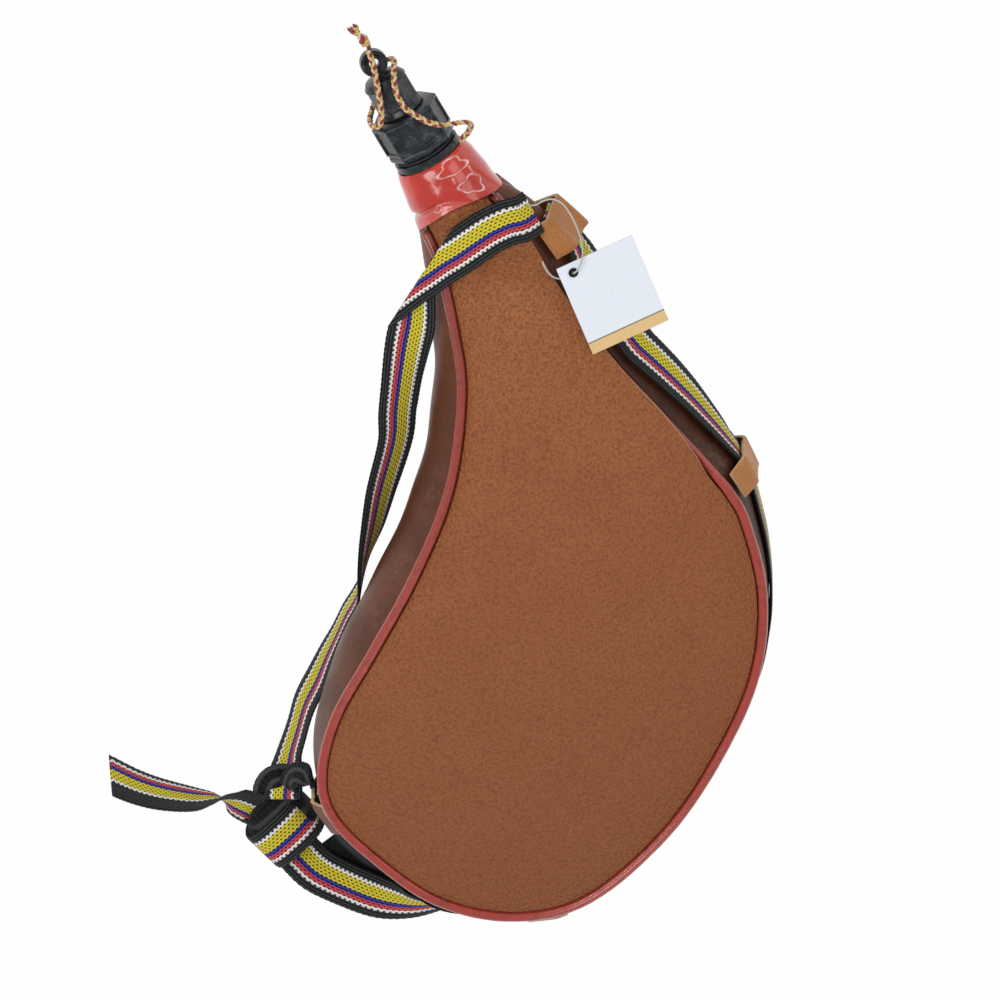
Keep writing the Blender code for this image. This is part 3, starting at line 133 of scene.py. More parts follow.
SIDE_RUN = [
    (-0.4800, -0.0060, 1.00, -0.98, 0.10, 0.0), (-0.4815, 0.0030, 0.97, -0.90, 0.35, 0.10),
    (-0.4890, 0.0120, 0.90, -0.60, 0.65, 0.35), (-0.5040, 0.0150, 0.79, -0.30, 0.70, 0.55),
    (-0.5200, 0.0090, 0.70, -0.20, 0.70, 0.60), (-0.5330, -0.004, 0.62, -0.10, 0.60, 0.75),
    (-0.5368, -0.0105, 0.564, -0.10, 0.60, 0.75),
]
# Where the strap is folded over by the neck: the crease's two ends
CREASE = np.array(((0.0666, 0.2040, 0.0560), (0.0321, 0.1819, 0.0464)))
CREASE_FALL = np.array((0.38, -0.20, -0.90))
# How high on the wall the strap runs: share of the outline, share of the half height
WALL_HEIGHTS = [
    (0.0, 0.0), (0.635, 0.0), (0.662, 0.03), (0.678, 0.15), (0.706, 0.31), (0.735, 0.46), (0.765, 0.57),
    (0.794, 0.55), (0.815, 0.42), (0.836, 0.17), (1.0, 0.15),
]
WALL_ENDS = {
    "strap_wall_run": ((0.431, 0.592), (-0.300, -0.256)),
    "strap_left_wall": ((-0.457, -0.012), (-0.400, -0.165)),
}
LOOP_PLACES = {
    "upper_loop": (0.429, 0.568), "right_loop": (0.519, 0.126),
    "bottom_loop": (-0.205, -0.292), "left_loop": (-0.4555, -0.036),
}
TETHER_ROUTE = [
    (0.0945, 0.2359, 0.0377), (0.0965, 0.2374, 0.0386), (0.1000, 0.2392, 0.0402), (0.1030, 0.2425, 0.0432),
    (0.1024, 0.2462, 0.0470), (0.0967, 0.2501, 0.0510), (0.0929, 0.2522, 0.0518), (0.0888, 0.2557, 0.0510),
    (0.0857, 0.2602, 0.0500), (0.0828, 0.2657, 0.0490), (0.0825, 0.2719, 0.0475), (0.0836, 0.2768, 0.0452),
    (0.0856, 0.2808, 0.0415), (0.0866, 0.2824, 0.0360), (0.0848, 0.2822, 0.0292), (0.0800, 0.2812, 0.0258),
    (0.0750, 0.2768, 0.0215), (0.0715, 0.2710, 0.0198), (0.0680, 0.2660, 0.0210), (0.0644, 0.2632, 0.0268),
    (0.0632, 0.2622, 0.0345), (0.0650, 0.2622, 0.0420), (0.0679, 0.2630, 0.0464), (0.0705, 0.2650, 0.0472),
    (0.0730, 0.2698, 0.0464), (0.0751, 0.2754, 0.0452), (0.0772, 0.2818, 0.0430), (0.0784, 0.2859, 0.0408),
    (0.0794, 0.2900, 0.0391), (0.0798, 0.2936, 0.0383),
]
TETHER_END_ROUTE = [
    (0.0782, 0.2855, 0.0345, 0.9), (0.0779, 0.2857, 0.0316, 0.9), (0.0778, 0.2866, 0.0288, 0.95),
    (0.0783, 0.2892, 0.0273, 1.0), (0.0789, 0.2922, 0.0280, 1.0), (0.0795, 0.2948, 0.0302, 1.15),
    (0.0799, 0.2962, 0.0331, 1.7), (0.0800, 0.2977, 0.0358, 2.05), (0.0799, 0.2998, 0.0370, 1.7),
    (0.0796, 0.3015, 0.0370, 1.1), (0.0792, 0.3032, 0.0368, 1.5), (0.0789, 0.3052, 0.0366, 2.1),
]
THREAD_ROUTE = [
    (0.1030, 0.1780, 0.0640), (0.1028, 0.1725, 0.0645), (0.1050, 0.1680, 0.0648), (0.1090, 0.1670, 0.0646),
    (0.1126, 0.1680, 0.0654), (0.1130, 0.1680, 0.0670), (0.1134, 0.1680, 0.0687), (0.1152, 0.1686, 0.0694),
    (0.1180, 0.1703, 0.0688), (0.1208, 0.1733, 0.0672), (0.1228, 0.1785, 0.0640), (0.1236, 0.1840, 0.0605),
    (0.1236, 0.1895, 0.0580), (0.1225, 0.1950, 0.0560), (0.1195, 0.1985, 0.0550), (0.1155, 0.1995, 0.0545),
    (0.1120, 0.1992, 0.0538), (0.1098, 0.1991, 0.0519), (0.10764, 0.1989, 0.0495),
]


# Camera, light and ground
def place_camera():
    """Looks down on the front panel from the mouthpiece's side, in parallel: right, up and back are the view's three
    unit ways, and the frame's middle is the point that lies so far along each of them."""
    right = np.array((0.874, -0.487, 0.0))
    up = np.array((0.4515, 0.810, -0.375))
    right /= np.linalg.norm(right)
    up -= right * (up @ right)
    up /= np.linalg.norm(up)
    back = np.cross(right, up)
    across, distance = 0.44, 3.0
    middle = right * -0.0152 + up * 0.0617 + back * 0.030
    data = bpy.data.cameras.new("camera")
    data.type, data.ortho_scale = "ORTHO", across
    cam = bpy.data.objects.new("camera", data)
    turn = Matrix([list(right), list(up), list(back)]).transposed().to_4x4()
    cam.matrix_world = Matrix.Translation(Vector(middle + back * distance)) @ turn
    bpy.context.scene.collection.objects.link(cam)
    bpy.context.scene.camera = cam


place_camera()


# Arrays: curves, frames and surfaces
def unit(v):
    """Each row divided by its own length."""
    return v / np.maximum(np.linalg.norm(v, axis=-1, keepdims=True), 1e-12)


def smooth_rows(rows, steps):
    """The Catmull-Rom curve through the rows, read at steps places between each two."""
    rows = np.asarray(rows, float)
    a, b = rows[np.r_[0, : len(rows) - 2]], rows[:-1]
    c, d = rows[1:], rows[np.r_[2 : len(rows), len(rows) - 1]]
    t = (np.arange(steps) / steps)[None, :, None]
    a, b, c, d = (k[:, None, :] for k in (a, b, c, d))
    out = 0.5 * (2 * b + (c - a) * t + (2 * a - 5 * b + 4 * c - d) * t**2 + (3 * b - a - 3 * c + d) * t**3)
    return np.vstack([out.reshape(-1, rows.shape[1]), rows[-1:]])


def even_rows(rows, spacing):
    """The smooth curve through the rows, read at equal steps of its length."""
    fine = smooth_rows(rows, 16)
    along = np.r_[0, np.cumsum(np.linalg.norm(np.diff(fine[:, :3], axis=0), axis=1))]
    places = np.linspace(0, along[-1], max(4, round(along[-1] / spacing)) + 1)
    return np.stack([np.interp(places, along, column) for column in fine.T], 1)


def lengths(path):
    """How far along the path each point lies."""
    return np.r_[0, np.cumsum(np.linalg.norm(np.diff(path, axis=0), axis=1))]


def tangents(path):
    return unit(np.gradient(path, axis=0))


def turning_frames(path):
    """Two unit ways square to the path at each point, carried along it with no twist of their own."""
    along = tangents(path)
    first = np.cross(along[0], (0, 0, 1.0))
    if np.linalg.norm(first) < 1e-3:
        first = np.cross(along[0], (1.0, 0, 0))
    side = [unit(first)]
    for way in along[1:]:
        side.append(unit(side[-1] - way * (side[-1] @ way)))
    side = np.array(side)
    return side, np.cross(along, side)


def surface(name, points, uv=None, close=False, caps=False, materials=()):
    """A mesh of quads on a grid of points. close joins the last column to the first, and caps fills both ends."""
    rows, columns = points.shape[:2]
    index = np.arange(rows * columns).reshape(rows, columns)
    wide = np.c_[index, index[:, :1]] if close else index
    faces = np.stack([wide[:-1, :-1], wide[:-1, 1:], wide[1:, 1:], wide[1:, :-1]], -1).reshape(-1, 4)
    polygons = faces.tolist()
    if caps:
        polygons += [index[0][::-1].tolist(), index[-1].tolist()]
    mesh = bpy.data.meshes.new(name)
    mesh.from_pydata(points.reshape(-1, 3).tolist(), [], polygons)
    if uv is not None:
        flat = uv.reshape(-1, 2)
        ends = np.zeros(len(mesh.loops), np.int32)
        mesh.loops.foreach_get("vertex_index", ends)
        layer = mesh.uv_layers.new(name="lay")
        layer.data.foreach_set("uv", flat[ends].astype(np.float32).ravel())
    mesh.shade_smooth()
    piece = bpy.data.objects.new(name, mesh)
    bpy.context.scene.collection.objects.link(piece)
    for made in materials:
        mesh.materials.append(made)
    return piece


def merged(piece, gap=1e-5, outward=False):
    """Merges points that coincide, and turns the faces of a closed or domed mesh outwards."""
    bm = bmesh.new()
    bm.from_mesh(piece.data)
    bmesh.ops.remove_doubles(bm, verts=bm.verts, dist=gap)
    bmesh.ops.dissolve_degenerate(bm, edges=bm.edges, dist=gap / 2)
    if outward:
        bmesh.ops.recalc_face_normals(bm, faces=bm.faces)
    bm.to_mesh(piece.data)
    bm.free()
    piece.data.shade_smooth()
    return piece


def facing_away(piece, centre):
    """Turns an open skin round where most of it looks towards the centre."""
    bm = bmesh.new()
    bm.from_mesh(piece.data)
    bmesh.ops.recalc_face_normals(bm, faces=bm.faces)
    bm.normal_update()
    if sum((f.calc_center_median() - Vector(centre)).dot(f.normal) * f.calc_area() for f in bm.faces) < 0:
        bmesh.ops.reverse_faces(bm, faces=bm.faces)
    bm.to_mesh(piece.data)
    bm.free()
    piece.data.shade_smooth()
    return piece


def tube(name, path, radius, material, sides=16, ripple=None):
    """A round tube: each point of the path carries a circle in its turning frame, ripple times wider or narrower."""
    side, up = turning_frames(path)
    turn = np.linspace(0, 2 * math.pi, sides, endpoint=False)
    reach = np.broadcast_to(np.asarray(radius, float).reshape(-1, 1), (len(path), sides)).copy()
    if ripple is not None:
        reach *= ripple
    ring = np.cos(turn)[None, :, None] * side[:, None] + np.sin(turn)[None, :, None] * up[:, None]
    along = np.repeat(lengths(path)[:, None], sides, 1)
    uv = np.stack([np.broadcast_to(turn / (2 * math.pi), along.shape), along], -1)
    piece = surface(name, path[:, None] + ring * reach[..., None], uv, True, True, [material])
    return merged(piece, outward=True)


def wall(piece, thickness, offset=-1.0, rim=0, bevel=0.0, even=True):
    """Gives a skin its leather's thickness, with the cut rim in its own material."""
    skin = piece.modifiers.new("wall", "SOLIDIFY")
    skin.thickness, skin.offset, skin.use_even_offset = thickness, offset, even
    skin.material_offset_rim = rim
    if bevel:
        edge = piece.modifiers.new("worn_edge", "BEVEL")
        edge.width, edge.segments, edge.limit_method = bevel, 2, "ANGLE"
        edge.angle_limit = math.radians(50)
    return piece


# Shader building
def hue(code):
    """A six-figure colour code as the shader's linear colour."""
    parts = np.array([int(code[k : k + 2], 16) / 255 for k in (0, 2, 4)])
    linear = np.where(parts <= 0.04045, parts / 12.92, ((parts + 0.055) / 1.055) ** 2.4)
    return (*linear, 1.0)


def add(tree, kind, inputs=None, **settings):
    """A node with its settings, its sockets' values, and links where a value is another node's socket."""
    made = tree.nodes.new("ShaderNode" + kind)
    for key, value in settings.items():
        setattr(made, key, value)
    for key, value in (inputs or {}).items():
        socket = made.inputs[key]
        if isinstance(value, bpy.types.NodeSocket):
            tree.links.new(value, socket)
        else:
            socket.default_value = value
    return made


def maths(tree, operation, a, b=0.0, c=None, clamp=False):
    inputs = {0: a, 1: b}
    if c is not None:
        inputs[2] = c
    return add(tree, "Math", inputs, operation=operation, use_clamp=clamp).outputs[0]


def between(tree, value, low, high, to_low=0.0, to_high=1.0, smooth=True):
    """A value's place between two limits, eased at both ends."""
    kind = "SMOOTHSTEP" if smooth else "LINEAR"
    made = add(tree, "MapRange", {0: value, 1: low, 2: high, 3: to_low, 4: to_high}, interpolation_type=kind)
    return made.outputs[0]


def mix(tree, share, a, b, kind="MIX"):
    made = add(tree, "Mix", {0: share, 6: a, 7: b}, data_type="RGBA", blend_type=kind)
    return made.outputs[2]


def noise(tree, vector, scale, detail=3.0, rough=0.5, kind="Fac"):
    made = add(tree, "TexNoise", {"Vector": vector, "Scale": scale, "Detail": detail, "Roughness": rough})
    return made.outputs[kind if kind == "Color" else 0]


def group(name, inputs, outputs):
    """A new shader node group, with its inner input and output nodes."""
    tree = bpy.data.node_groups.new(name, "ShaderNodeTree")
    for key, kind, value in inputs:
        socket = tree.interface.new_socket(name=key, in_out="INPUT", socket_type="NodeSocket" + kind)
        if kind == "Float":
            socket.default_value = value
    for key, kind in outputs:
        tree.interface.new_socket(name=key, in_out="OUTPUT", socket_type="NodeSocket" + kind)
    return tree, tree.nodes.new("NodeGroupInput").outputs, tree.nodes.new("NodeGroupOutput").inputs


def use(tree, made_group, inputs):
    made = tree.nodes.new("ShaderNodeGroup")
    made.node_tree = made_group
    for key, value in inputs.items():
        if isinstance(value, bpy.types.NodeSocket):
            tree.links.new(value, made.inputs[key])
        else:
            made.inputs[key].default_value = value
    return made.outputs


def grain_group():
    """Pebbled grain: rounded cells bent by a fine noise, with creases between them, pores and a slow tone."""
    tree, at, to = group(
        "pebbled_grain",
        [("Vector", "Vector", None), ("Scale", "Float", 1000.0), ("Bend", "Float", 0.0005)],
        [("Height", "Float"), ("Crease", "Float"), ("Tone", "Float")],
    )
    warp = add(tree, "TexNoise", {"Vector": at["Vector"], "Scale": 520.0, "Detail": 3.0})
    shift = add(tree, "VectorMath", {0: warp.outputs[1], "Scale": at["Bend"]}, operation="SCALE")
    bent = add(tree, "VectorMath", {0: at["Vector"], 1: shift.outputs[0]}, operation="ADD").outputs[0]
    cells = add(tree, "TexVoronoi", {"Vector": bent, "Scale": at["Scale"], "Smoothness": 0.35}, feature="SMOOTH_F1")
    fine = add(tree, "TexVoronoi", {"Vector": bent, "Scale": maths(tree, "MULTIPLY", at["Scale"], 2.1)}, feature="F1")
    low = maths(tree, "MULTIPLY", cells.outputs[0], cells.outputs[0])
    low_fine = maths(tree, "MULTIPLY", fine.outputs[0], fine.outputs[0])
    tree.links.new(maths(tree, "SUBTRACT", 1.0, maths(tree, "MULTIPLY_ADD", low_fine, 0.3, low)), to["Height"])
    tree.links.new(between(tree, low, 0.16, 0.48), to["Crease"])
    tree.links.new(noise(tree, at["Vector"], 30.0, 4.0, 0.6), to["Tone"])
    return tree


def weave_group():
    """Knitted webbing: the product of two cosines, across and along, gives staggered holes, a sine across gives
    the cords between them, and the cosine along pushes the stripes' borders in and out, stitch by stitch."""
    tree, at, to = group(
        "webbing_weave",
        [("Across", "Float", 0.0), ("Along", "Float", 0.0), ("Cords", "Float", 15.0), ("Pitch", "Float", 850.0)],
        [("Height", "Float"), ("Hole", "Float"), ("Cord", "Float"), ("Stitch", "Float")],
    )
    x = maths(tree, "MULTIPLY", maths(tree, "MULTIPLY", at["Across"], at["Cords"]), math.pi)
    y = maths(tree, "MULTIPLY", maths(tree, "MULTIPLY", at["Along"], at["Pitch"]), math.pi)
    stitch = maths(tree, "COSINE", y)
    lattice = maths(tree, "MULTIPLY", maths(tree, "COSINE", x), stitch)
    hole = between(tree, lattice, 0.34, 0.78)
    cord = maths(tree, "ABSOLUTE", maths(tree, "SINE", x))
    tree.links.new(hole, to["Hole"])
    tree.links.new(cord, to["Cord"])
    tree.links.new(stitch, to["Stitch"])
    high = maths(tree, "SUBTRACT", maths(tree, "MULTIPLY_ADD", cord, 0.5, 0.5), hole)
    tree.links.new(high, to["Height"])
    return tree


def wear_and_highlight_group():
    """Edge and dust wear on the gusset, painted highlights on the plastic: a broken noise mask that the finishes use
    for lighter, rougher places.
    """
    tree, at, to = group("wear_and_highlights", [("Vector", "Vector", None), ("Scale", "Float", 60.0), ("Amount", "Float", 0.3)],
                         [("Mask", "Float")])
    broad = noise(tree, at["Vector"], at["Scale"], 6.0, 0.65)
    fine = noise(tree, at["Vector"], maths(tree, "MULTIPLY", at["Scale"], 9.0), 4.0, 0.6)
    both = maths(tree, "MULTIPLY", between(tree, broad, 0.45, 0.75), between(tree, fine, 0.35, 0.75))
    tree.links.new(maths(tree, "MULTIPLY", both, at["Amount"]), to["Mask"])
    return tree


GRAIN, WEAVE, WEAR_AND_HIGHLIGHTS = grain_group(), weave_group(), wear_and_highlight_group()


def finish(name, colour, roughness, **sockets):
    """A new material and its tree, its shader and its object coordinates."""
    made = bpy.data.materials.new(name)
    made.use_nodes = True
    tree = made.node_tree
    shader = tree.nodes["Principled BSDF"]
    shader.inputs["Base Color"].default_value = colour
    shader.inputs["Roughness"].default_value = roughness
    for key, value in sockets.items():
        shader.inputs[key.replace("_", " ")].default_value = value
    place = tree.nodes.new("ShaderNodeTexCoord").outputs["Object"]
    return made, tree, shader, place


def bump(tree, shader, height, distance, strength=1.0):
    made = add(tree, "Bump", {"Height": height, "Distance": distance, "Strength": strength})
    tree.links.new(made.outputs[0], shader.inputs["Normal"])
    return made


def slanted_lines(tree, place, turn, size, low, high, sides):
    """Fine lines: a noise drawn out along one way, on a band of the part between two places along the other."""
    turned = add(tree, "Mapping", {"Vector": place, "Rotation": (0, 0, turn)})
    drawn = add(tree, "Mapping", {"Vector": turned.outputs[0], "Scale": size})
    spot = add(tree, "SeparateXYZ", {0: turned.outputs[0]})
    here = maths(tree, "MULTIPLY", between(tree, spot.outputs[1], low, low + 0.012),
                 between(tree, spot.outputs[1], high, high + 0.010, 1.0, 0.0))
    beside = maths(tree, "MULTIPLY", between(tree, spot.outputs[0], sides[0], sides[0] + 0.008),
                   between(tree, spot.outputs[0], sides[1], sides[1] + 0.010, 1.0, 0.0))
    lines = between(tree, noise(tree, drawn.outputs[0], 1.0, 2.0, 0.5), 0.40, 0.62, smooth=True)
    return maths(tree, "MULTIPLY", lines, maths(tree, "MULTIPLY", here, beside))


def leather_finish(name, light, middle, dark, scale=950.0, depth=0.00022, roughness=0.5, pleated=False):
    """Tanned leather with painted light: lighter near the neck and darker at the foot, where the light falls less,
    with pebbled grain darkened in its creases by painted shade, a slow change of tone, and by the neck fine pleats
    where it is drawn together, with painted shade in their lines."""
    made, tree, shader, place = finish(name, light, roughness, Specular_IOR_Level=0.38)
    spot = add(tree, "SeparateXYZ", {0: place})
    # Painted light: the tone runs from dark at the foot to light near the neck, as the light falls on the panel.
    along = maths(tree, "MULTIPLY_ADD", spot.outputs[0], 0.25, spot.outputs[1])
    low = between(tree, along, -0.10, 0.06, smooth=False)
    high = between(tree, along, 0.06, 0.22, smooth=False)
    tone = mix(tree, high, mix(tree, low, dark, middle), light)
    grain = use(tree, GRAIN, {"Vector": place, "Scale": scale})
    height = grain["Height"]
    # Painted shade: the grain's creases, more so near the neck, and the pleat lines are darkened where shade falls in
    # them; the fibre noise on the same mask is a random tone.
    creased_more = maths(tree, "MULTIPLY_ADD", high, 0.6, 0.7)
    fibres = between(tree, noise(tree, place, scale * 0.9, 4.0, 0.7), 0.40, 0.62, 0.0, 0.28)
    crease = maths(tree, "MULTIPLY", maths(tree, "MULTIPLY_ADD", grain["Crease"], 0.22, fibres), creased_more)
    if pleated:
        pleats = slanted_lines(tree, place, 0.508, (250.0, 1500.0, 250.0), 0.186, 0.206, (-0.030, 0.006))
        drawn = slanted_lines(tree, place, 0.0, (1500.0, 90.0, 1500.0), 0.196, 0.240, (0.0, 0.2))
        lines = maths(tree, "MAXIMUM", pleats, drawn)
        # Painted shade in the pleat lines, which are also sunk in the bump.
        crease = maths(tree, "MAXIMUM", crease, maths(tree, "MULTIPLY", lines, 0.30))
        height = maths(tree, "SUBTRACT", height, maths(tree, "MULTIPLY", lines, 0.5))
    toned = mix(tree, between(tree, grain["Tone"], 0.36, 0.66, 0.0, 0.30), tone, dark)
    # The darker colour of the painted crease shade and of the fibre tone.
    shade_and_fibre_colour = mix(tree, 1.0, toned, hue("A8714C"), "MULTIPLY")
    tree.links.new(mix(tree, crease, toned, shade_and_fibre_colour), shader.inputs["Base Color"])
    rough = between(tree, grain["Tone"], 0.3, 0.7, roughness - 0.05, roughness + 0.08)
    tree.links.new(rough, shader.inputs["Roughness"])
    bump(tree, shader, height, depth)
    return made


def raw_edge_finish():
    """The pale cut edge of leather: layered fibres along the cut."""
    made, tree, shader, place = finish("raw_edge", hue("D9B98C"), 0.8)
    fibres = noise(tree, place, 900.0, 3.0, 0.6)
    tree.links.new(mix(tree, fibres, hue("E4CBA4"), hue("B98E5E")), shader.inputs["Base Color"])
    bump(tree, shader, fibres, 0.0002)
    return made


def gusset_finish():
    """Smooth dark brown leather with painted light, redder and lighter near the neck and on the left, with faint long
    creases.
    """
    made, tree, shader, place = finish("gusset_leather", hue("4E2A1C"), 0.42, Specular_IOR_Level=0.30)
    spot = add(tree, "SeparateXYZ", {0: place})
    # Painted light: the upper and left masks lighten the tone where the light falls on the gusset.
    upper = between(tree, spot.outputs[1], 0.06, 0.20, smooth=False)
    left = between(tree, spot.outputs[0], 0.0, 0.10, 1.0, 0.0, smooth=False)
    tone = mix(tree, upper, hue("48230F"), hue("6E3A24"))
    tone = mix(tree, maths(tree, "MULTIPLY", left, 0.45), tone, hue("7C452F"))
    grain = use(tree, GRAIN, {"Vector": place, "Scale": 1500.0})
    wear_and_highlight = use(tree, WEAR_AND_HIGHLIGHTS, {"Vector": place, "Scale": 45.0, "Amount": 0.30})
    toned = mix(tree, between(tree, grain["Tone"], 0.35, 0.65, 0.0, 0.35), tone, hue("2E1A13"))
    tree.links.new(mix(tree, wear_and_highlight["Mask"], toned, hue("9C6C56")), shader.inputs["Base Color"])
    tree.links.new(between(tree, grain["Tone"], 0.3, 0.7, 0.38, 0.52), shader.inputs["Roughness"])
    bump(tree, shader, grain["Height"], 0.00007)
    return made


def piping_finish():
    """Polished red-brown piping with small creases across it."""
    made, tree, shader, place = finish("polished_piping", hue("9E3527"), 0.24, Coat_Weight=0.45, Coat_Roughness=0.06)
    spot = add(tree, "SeparateXYZ", {0: place})
    upper = between(tree, spot.outputs[1], 0.05, 0.20, smooth=False)
    creases = noise(tree, place, 300.0, 4.0, 0.6)
    tone = mix(tree, upper, hue("A5372A"), hue("8E3A2D"))
    dark = between(tree, creases, 0.45, 0.75, 0.0, 0.5)
    tree.links.new(mix(tree, dark, tone, hue("5E1A12")), shader.inputs["Base Color"])
    tree.links.new(between(tree, creases, 0.3, 0.7, 0.16, 0.30), shader.inputs["Roughness"])
    bump(tree, shader, creases, 0.00020)
    return made


def vinyl_finish():
    """Glossy red film over the neck: clear top coat, slow dents, painted highlights as pale lines along its crease
    ridges, and a paler, pinker foot where it lies double. The lay map's first value is the crease ridge, where the
    highlight is painted, its second the foot."""
    made, tree, shader, place = finish("neck_vinyl", hue("BC2C1E"), 0.22, Coat_Weight=0.5, Coat_Roughness=0.05)
    lay = add(tree, "SeparateXYZ", {0: add(tree, "UVMap", uv_map="lay").outputs[0]})
    dents = noise(tree, place, 70.0, 3.0, 0.5)
    wrinkles = noise(tree, place, 260.0, 4.0, 0.6)
    tone = mix(tree, between(tree, dents, 0.35, 0.68), hue("BC2A1A"), hue("D0392A"))
    tone = mix(tree, maths(tree, "MULTIPLY", lay.outputs[1], 0.55), tone, hue("D4625A"))
    # Painted highlight: pale lines along the crease ridges, broken by the wrinkle noise, stand in for the lamps'
    # reflections.
    broken = maths(tree, "MULTIPLY", lay.outputs[0], between(tree, wrinkles, 0.36, 0.56, 0.25, 0.85))
    tree.links.new(mix(tree, broken, tone, hue("FBE2DC")), shader.inputs["Base Color"])
    tree.links.new(between(tree, wrinkles, 0.3, 0.7, 0.10, 0.22), shader.inputs["Roughness"])
    bump(tree, shader, maths(tree, "MULTIPLY_ADD", wrinkles, 0.25, dents), 0.0006)
    return made


def plastic_finish(name="nozzle_plastic", colour="0B1013"):
    """Moulded black plastic: fine orange peel, greyer clouds of painted reflection, painted highlights in a broken
    noise mask that is also rougher, and a soft sheen.
    """
    made, tree, shader, place = finish(name, hue(colour), 0.34, Specular_IOR_Level=0.45)
    wear_and_highlight = use(tree, WEAR_AND_HIGHLIGHTS, {"Vector": place, "Scale": 210.0, "Amount": 0.65})
    # Painted reflection: this noise greys the black in clouds, standing in for reflections on the facets; it also feeds
    # the bump.
    reflection_cloud = noise(tree, place, 130.0, 4.0, 0.6)
    peel = noise(tree, place, 1600.0, 2.0, 0.5)
    body = mix(tree, between(tree, reflection_cloud, 0.45, 0.72, 0.0, 0.35), hue(colour), hue("2C3740"))
    # Painted highlight: the mask lightens the black to pale grey in patches, standing in for highlights on the edges.
    tree.links.new(mix(tree, wear_and_highlight["Mask"], body, hue("93A0AB")), shader.inputs["Base Color"])
    tree.links.new(maths(tree, "MULTIPLY_ADD", wear_and_highlight["Mask"], 0.3, 0.28), shader.inputs["Roughness"])
    bump(tree, shader, maths(tree, "MULTIPLY_ADD", reflection_cloud, 2.0, peel), 0.00008)
    return made


def webbing_finish():
    """Striped knitted webbing: the stripe comes from the way across, and the holes from the way across and along; holes
    and grooves get painted shade, cord crests painted highlights.
    """
    made, tree, shader, place = finish("striped_webbing", hue("14191C"), 0.9, Sheen_Weight=0.08, Specular_IOR_Level=0.25)
    spot = add(tree, "SeparateXYZ", {0: add(tree, "UVMap", uv_map="lay").outputs[0]})
    weave = use(tree, WEAVE, {"Across": spot.outputs[0], "Along": spot.outputs[1]})
    ramp = add(tree, "ValToRGB", {0: maths(tree, "MULTIPLY_ADD", weave["Stitch"], 0.012, spot.outputs[0])})
    ramp.color_ramp.interpolation = "CONSTANT"
    stripes = [(0.0, "090C0E"), (0.185, "F2F0EC"), (0.252, "DCCB1C"), (0.525, "1B1F92"), (0.635, "D0403E"),
               (0.745, "F2EEEA"), (0.815, "090C0E")]
    marks = ramp.color_ramp.elements
    while len(marks) < len(stripes):
        marks.new(1.0)
    for mark, (place_share, code) in zip(marks, stripes):
        mark.position, mark.color = place_share, hue(code)
    threads = noise(tree, place, 2600.0, 2.0, 0.6)
    # Painted shade: the holes and the grooves between the cords are darkened where shade falls in them.
    dark = mix(tree, 1.0, ramp.outputs[0], hue("4A4632"), "MULTIPLY")
    shade = mix(tree, maths(tree, "MULTIPLY", weave["Hole"], 0.92), ramp.outputs[0], dark)
    groove = maths(tree, "MULTIPLY", maths(tree, "SUBTRACT", 1.0, weave["Cord"]), 0.22)
    shade = mix(tree, groove, shade, dark)
    # Painted highlight: the cords' crests and specks of the thread noise are lightened as glints.
    raised = maths(tree, "MULTIPLY", weave["Cord"], maths(tree, "SUBTRACT", 1.0, weave["Hole"]))
    painted_glints = maths(tree, "MULTIPLY_ADD", between(tree, raised, 0.70, 0.98), 0.17, between(tree, threads, 0.5, 0.8, 0.0, 0.10))
    lit = mix(tree, painted_glints, shade, hue("8A8E90"), "SCREEN")
    tree.links.new(lit, shader.inputs["Base Color"])
    bump(tree, shader, maths(tree, "MULTIPLY_ADD", threads, 0.2, weave["Height"]), 0.00045)
    return made


def strand_finish(name, colour, other):
    """A twisted yarn: slanting fibres along the strand, with painted shade a little darker between them."""
    made, tree, shader, place = finish(name, hue(colour), 0.8, Sheen_Weight=0.3)
    lay = add(tree, "UVMap", uv_map="lay").outputs[0]
    spot = add(tree, "SeparateXYZ", {0: lay})
    slant = maths(tree, "MULTIPLY_ADD", spot.outputs[1], 1500.0, maths(tree, "MULTIPLY", spot.outputs[0], 2.0))
    fibre = maths(tree, "ABSOLUTE", maths(tree, "SINE", maths(tree, "MULTIPLY", slant, math.pi)))
    # Painted shade: the grooves between the fibres are darkened towards the other colour.
    tree.links.new(mix(tree, maths(tree, "SUBTRACT", 1.0, fibre), hue(colour), hue(other)), shader.inputs["Base Color"])
    bump(tree, shader, fibre, 0.00012)
    return made


def card_finish():
    """Coated white card with a plain beige band at its foot, under a thin brown line, and faint fibres."""
    made, tree, shader, place = finish("tag_paper", hue("E9EFF6"), 0.5)
    lay = add(tree, "UVMap", uv_map="lay").outputs[0]
    down = add(tree, "SeparateXYZ", {0: lay}).outputs[1]
    fibres = noise(tree, place, 700.0, 4.0, 0.6)
    white = mix(tree, between(tree, fibres, 0.3, 0.7), hue("E6EDF6"), hue("EEF2F8"))
    beige = mix(tree, fibres, hue("EBCB92"), hue("DDB679"))
    band = between(tree, down, 0.120, 0.126, 1.0, 0.0)
    line = maths(tree, "MULTIPLY", between(tree, down, 0.118, 0.122), between(tree, down, 0.133, 0.137, 1.0, 0.0))
    both = mix(tree, band, white, beige)
    tree.links.new(mix(tree, line, both, hue("8B7B62")), shader.inputs["Base Color"])
    bump(tree, shader, fibres, 0.00003)
    return made


def plain_finish(name, colour, other, roughness, scale, depth, **sockets):
    """A one-colour finish with fine noise in its tone and its surface."""
    made, tree, shader, place = finish(name, hue(colour), roughness, **sockets)
    fine = noise(tree, place, scale, 4.0, 0.6)
    tree.links.new(mix(tree, fine, hue(colour), hue(other)), shader.inputs["Base Color"])
    bump(tree, shader, fine, depth)
    return made


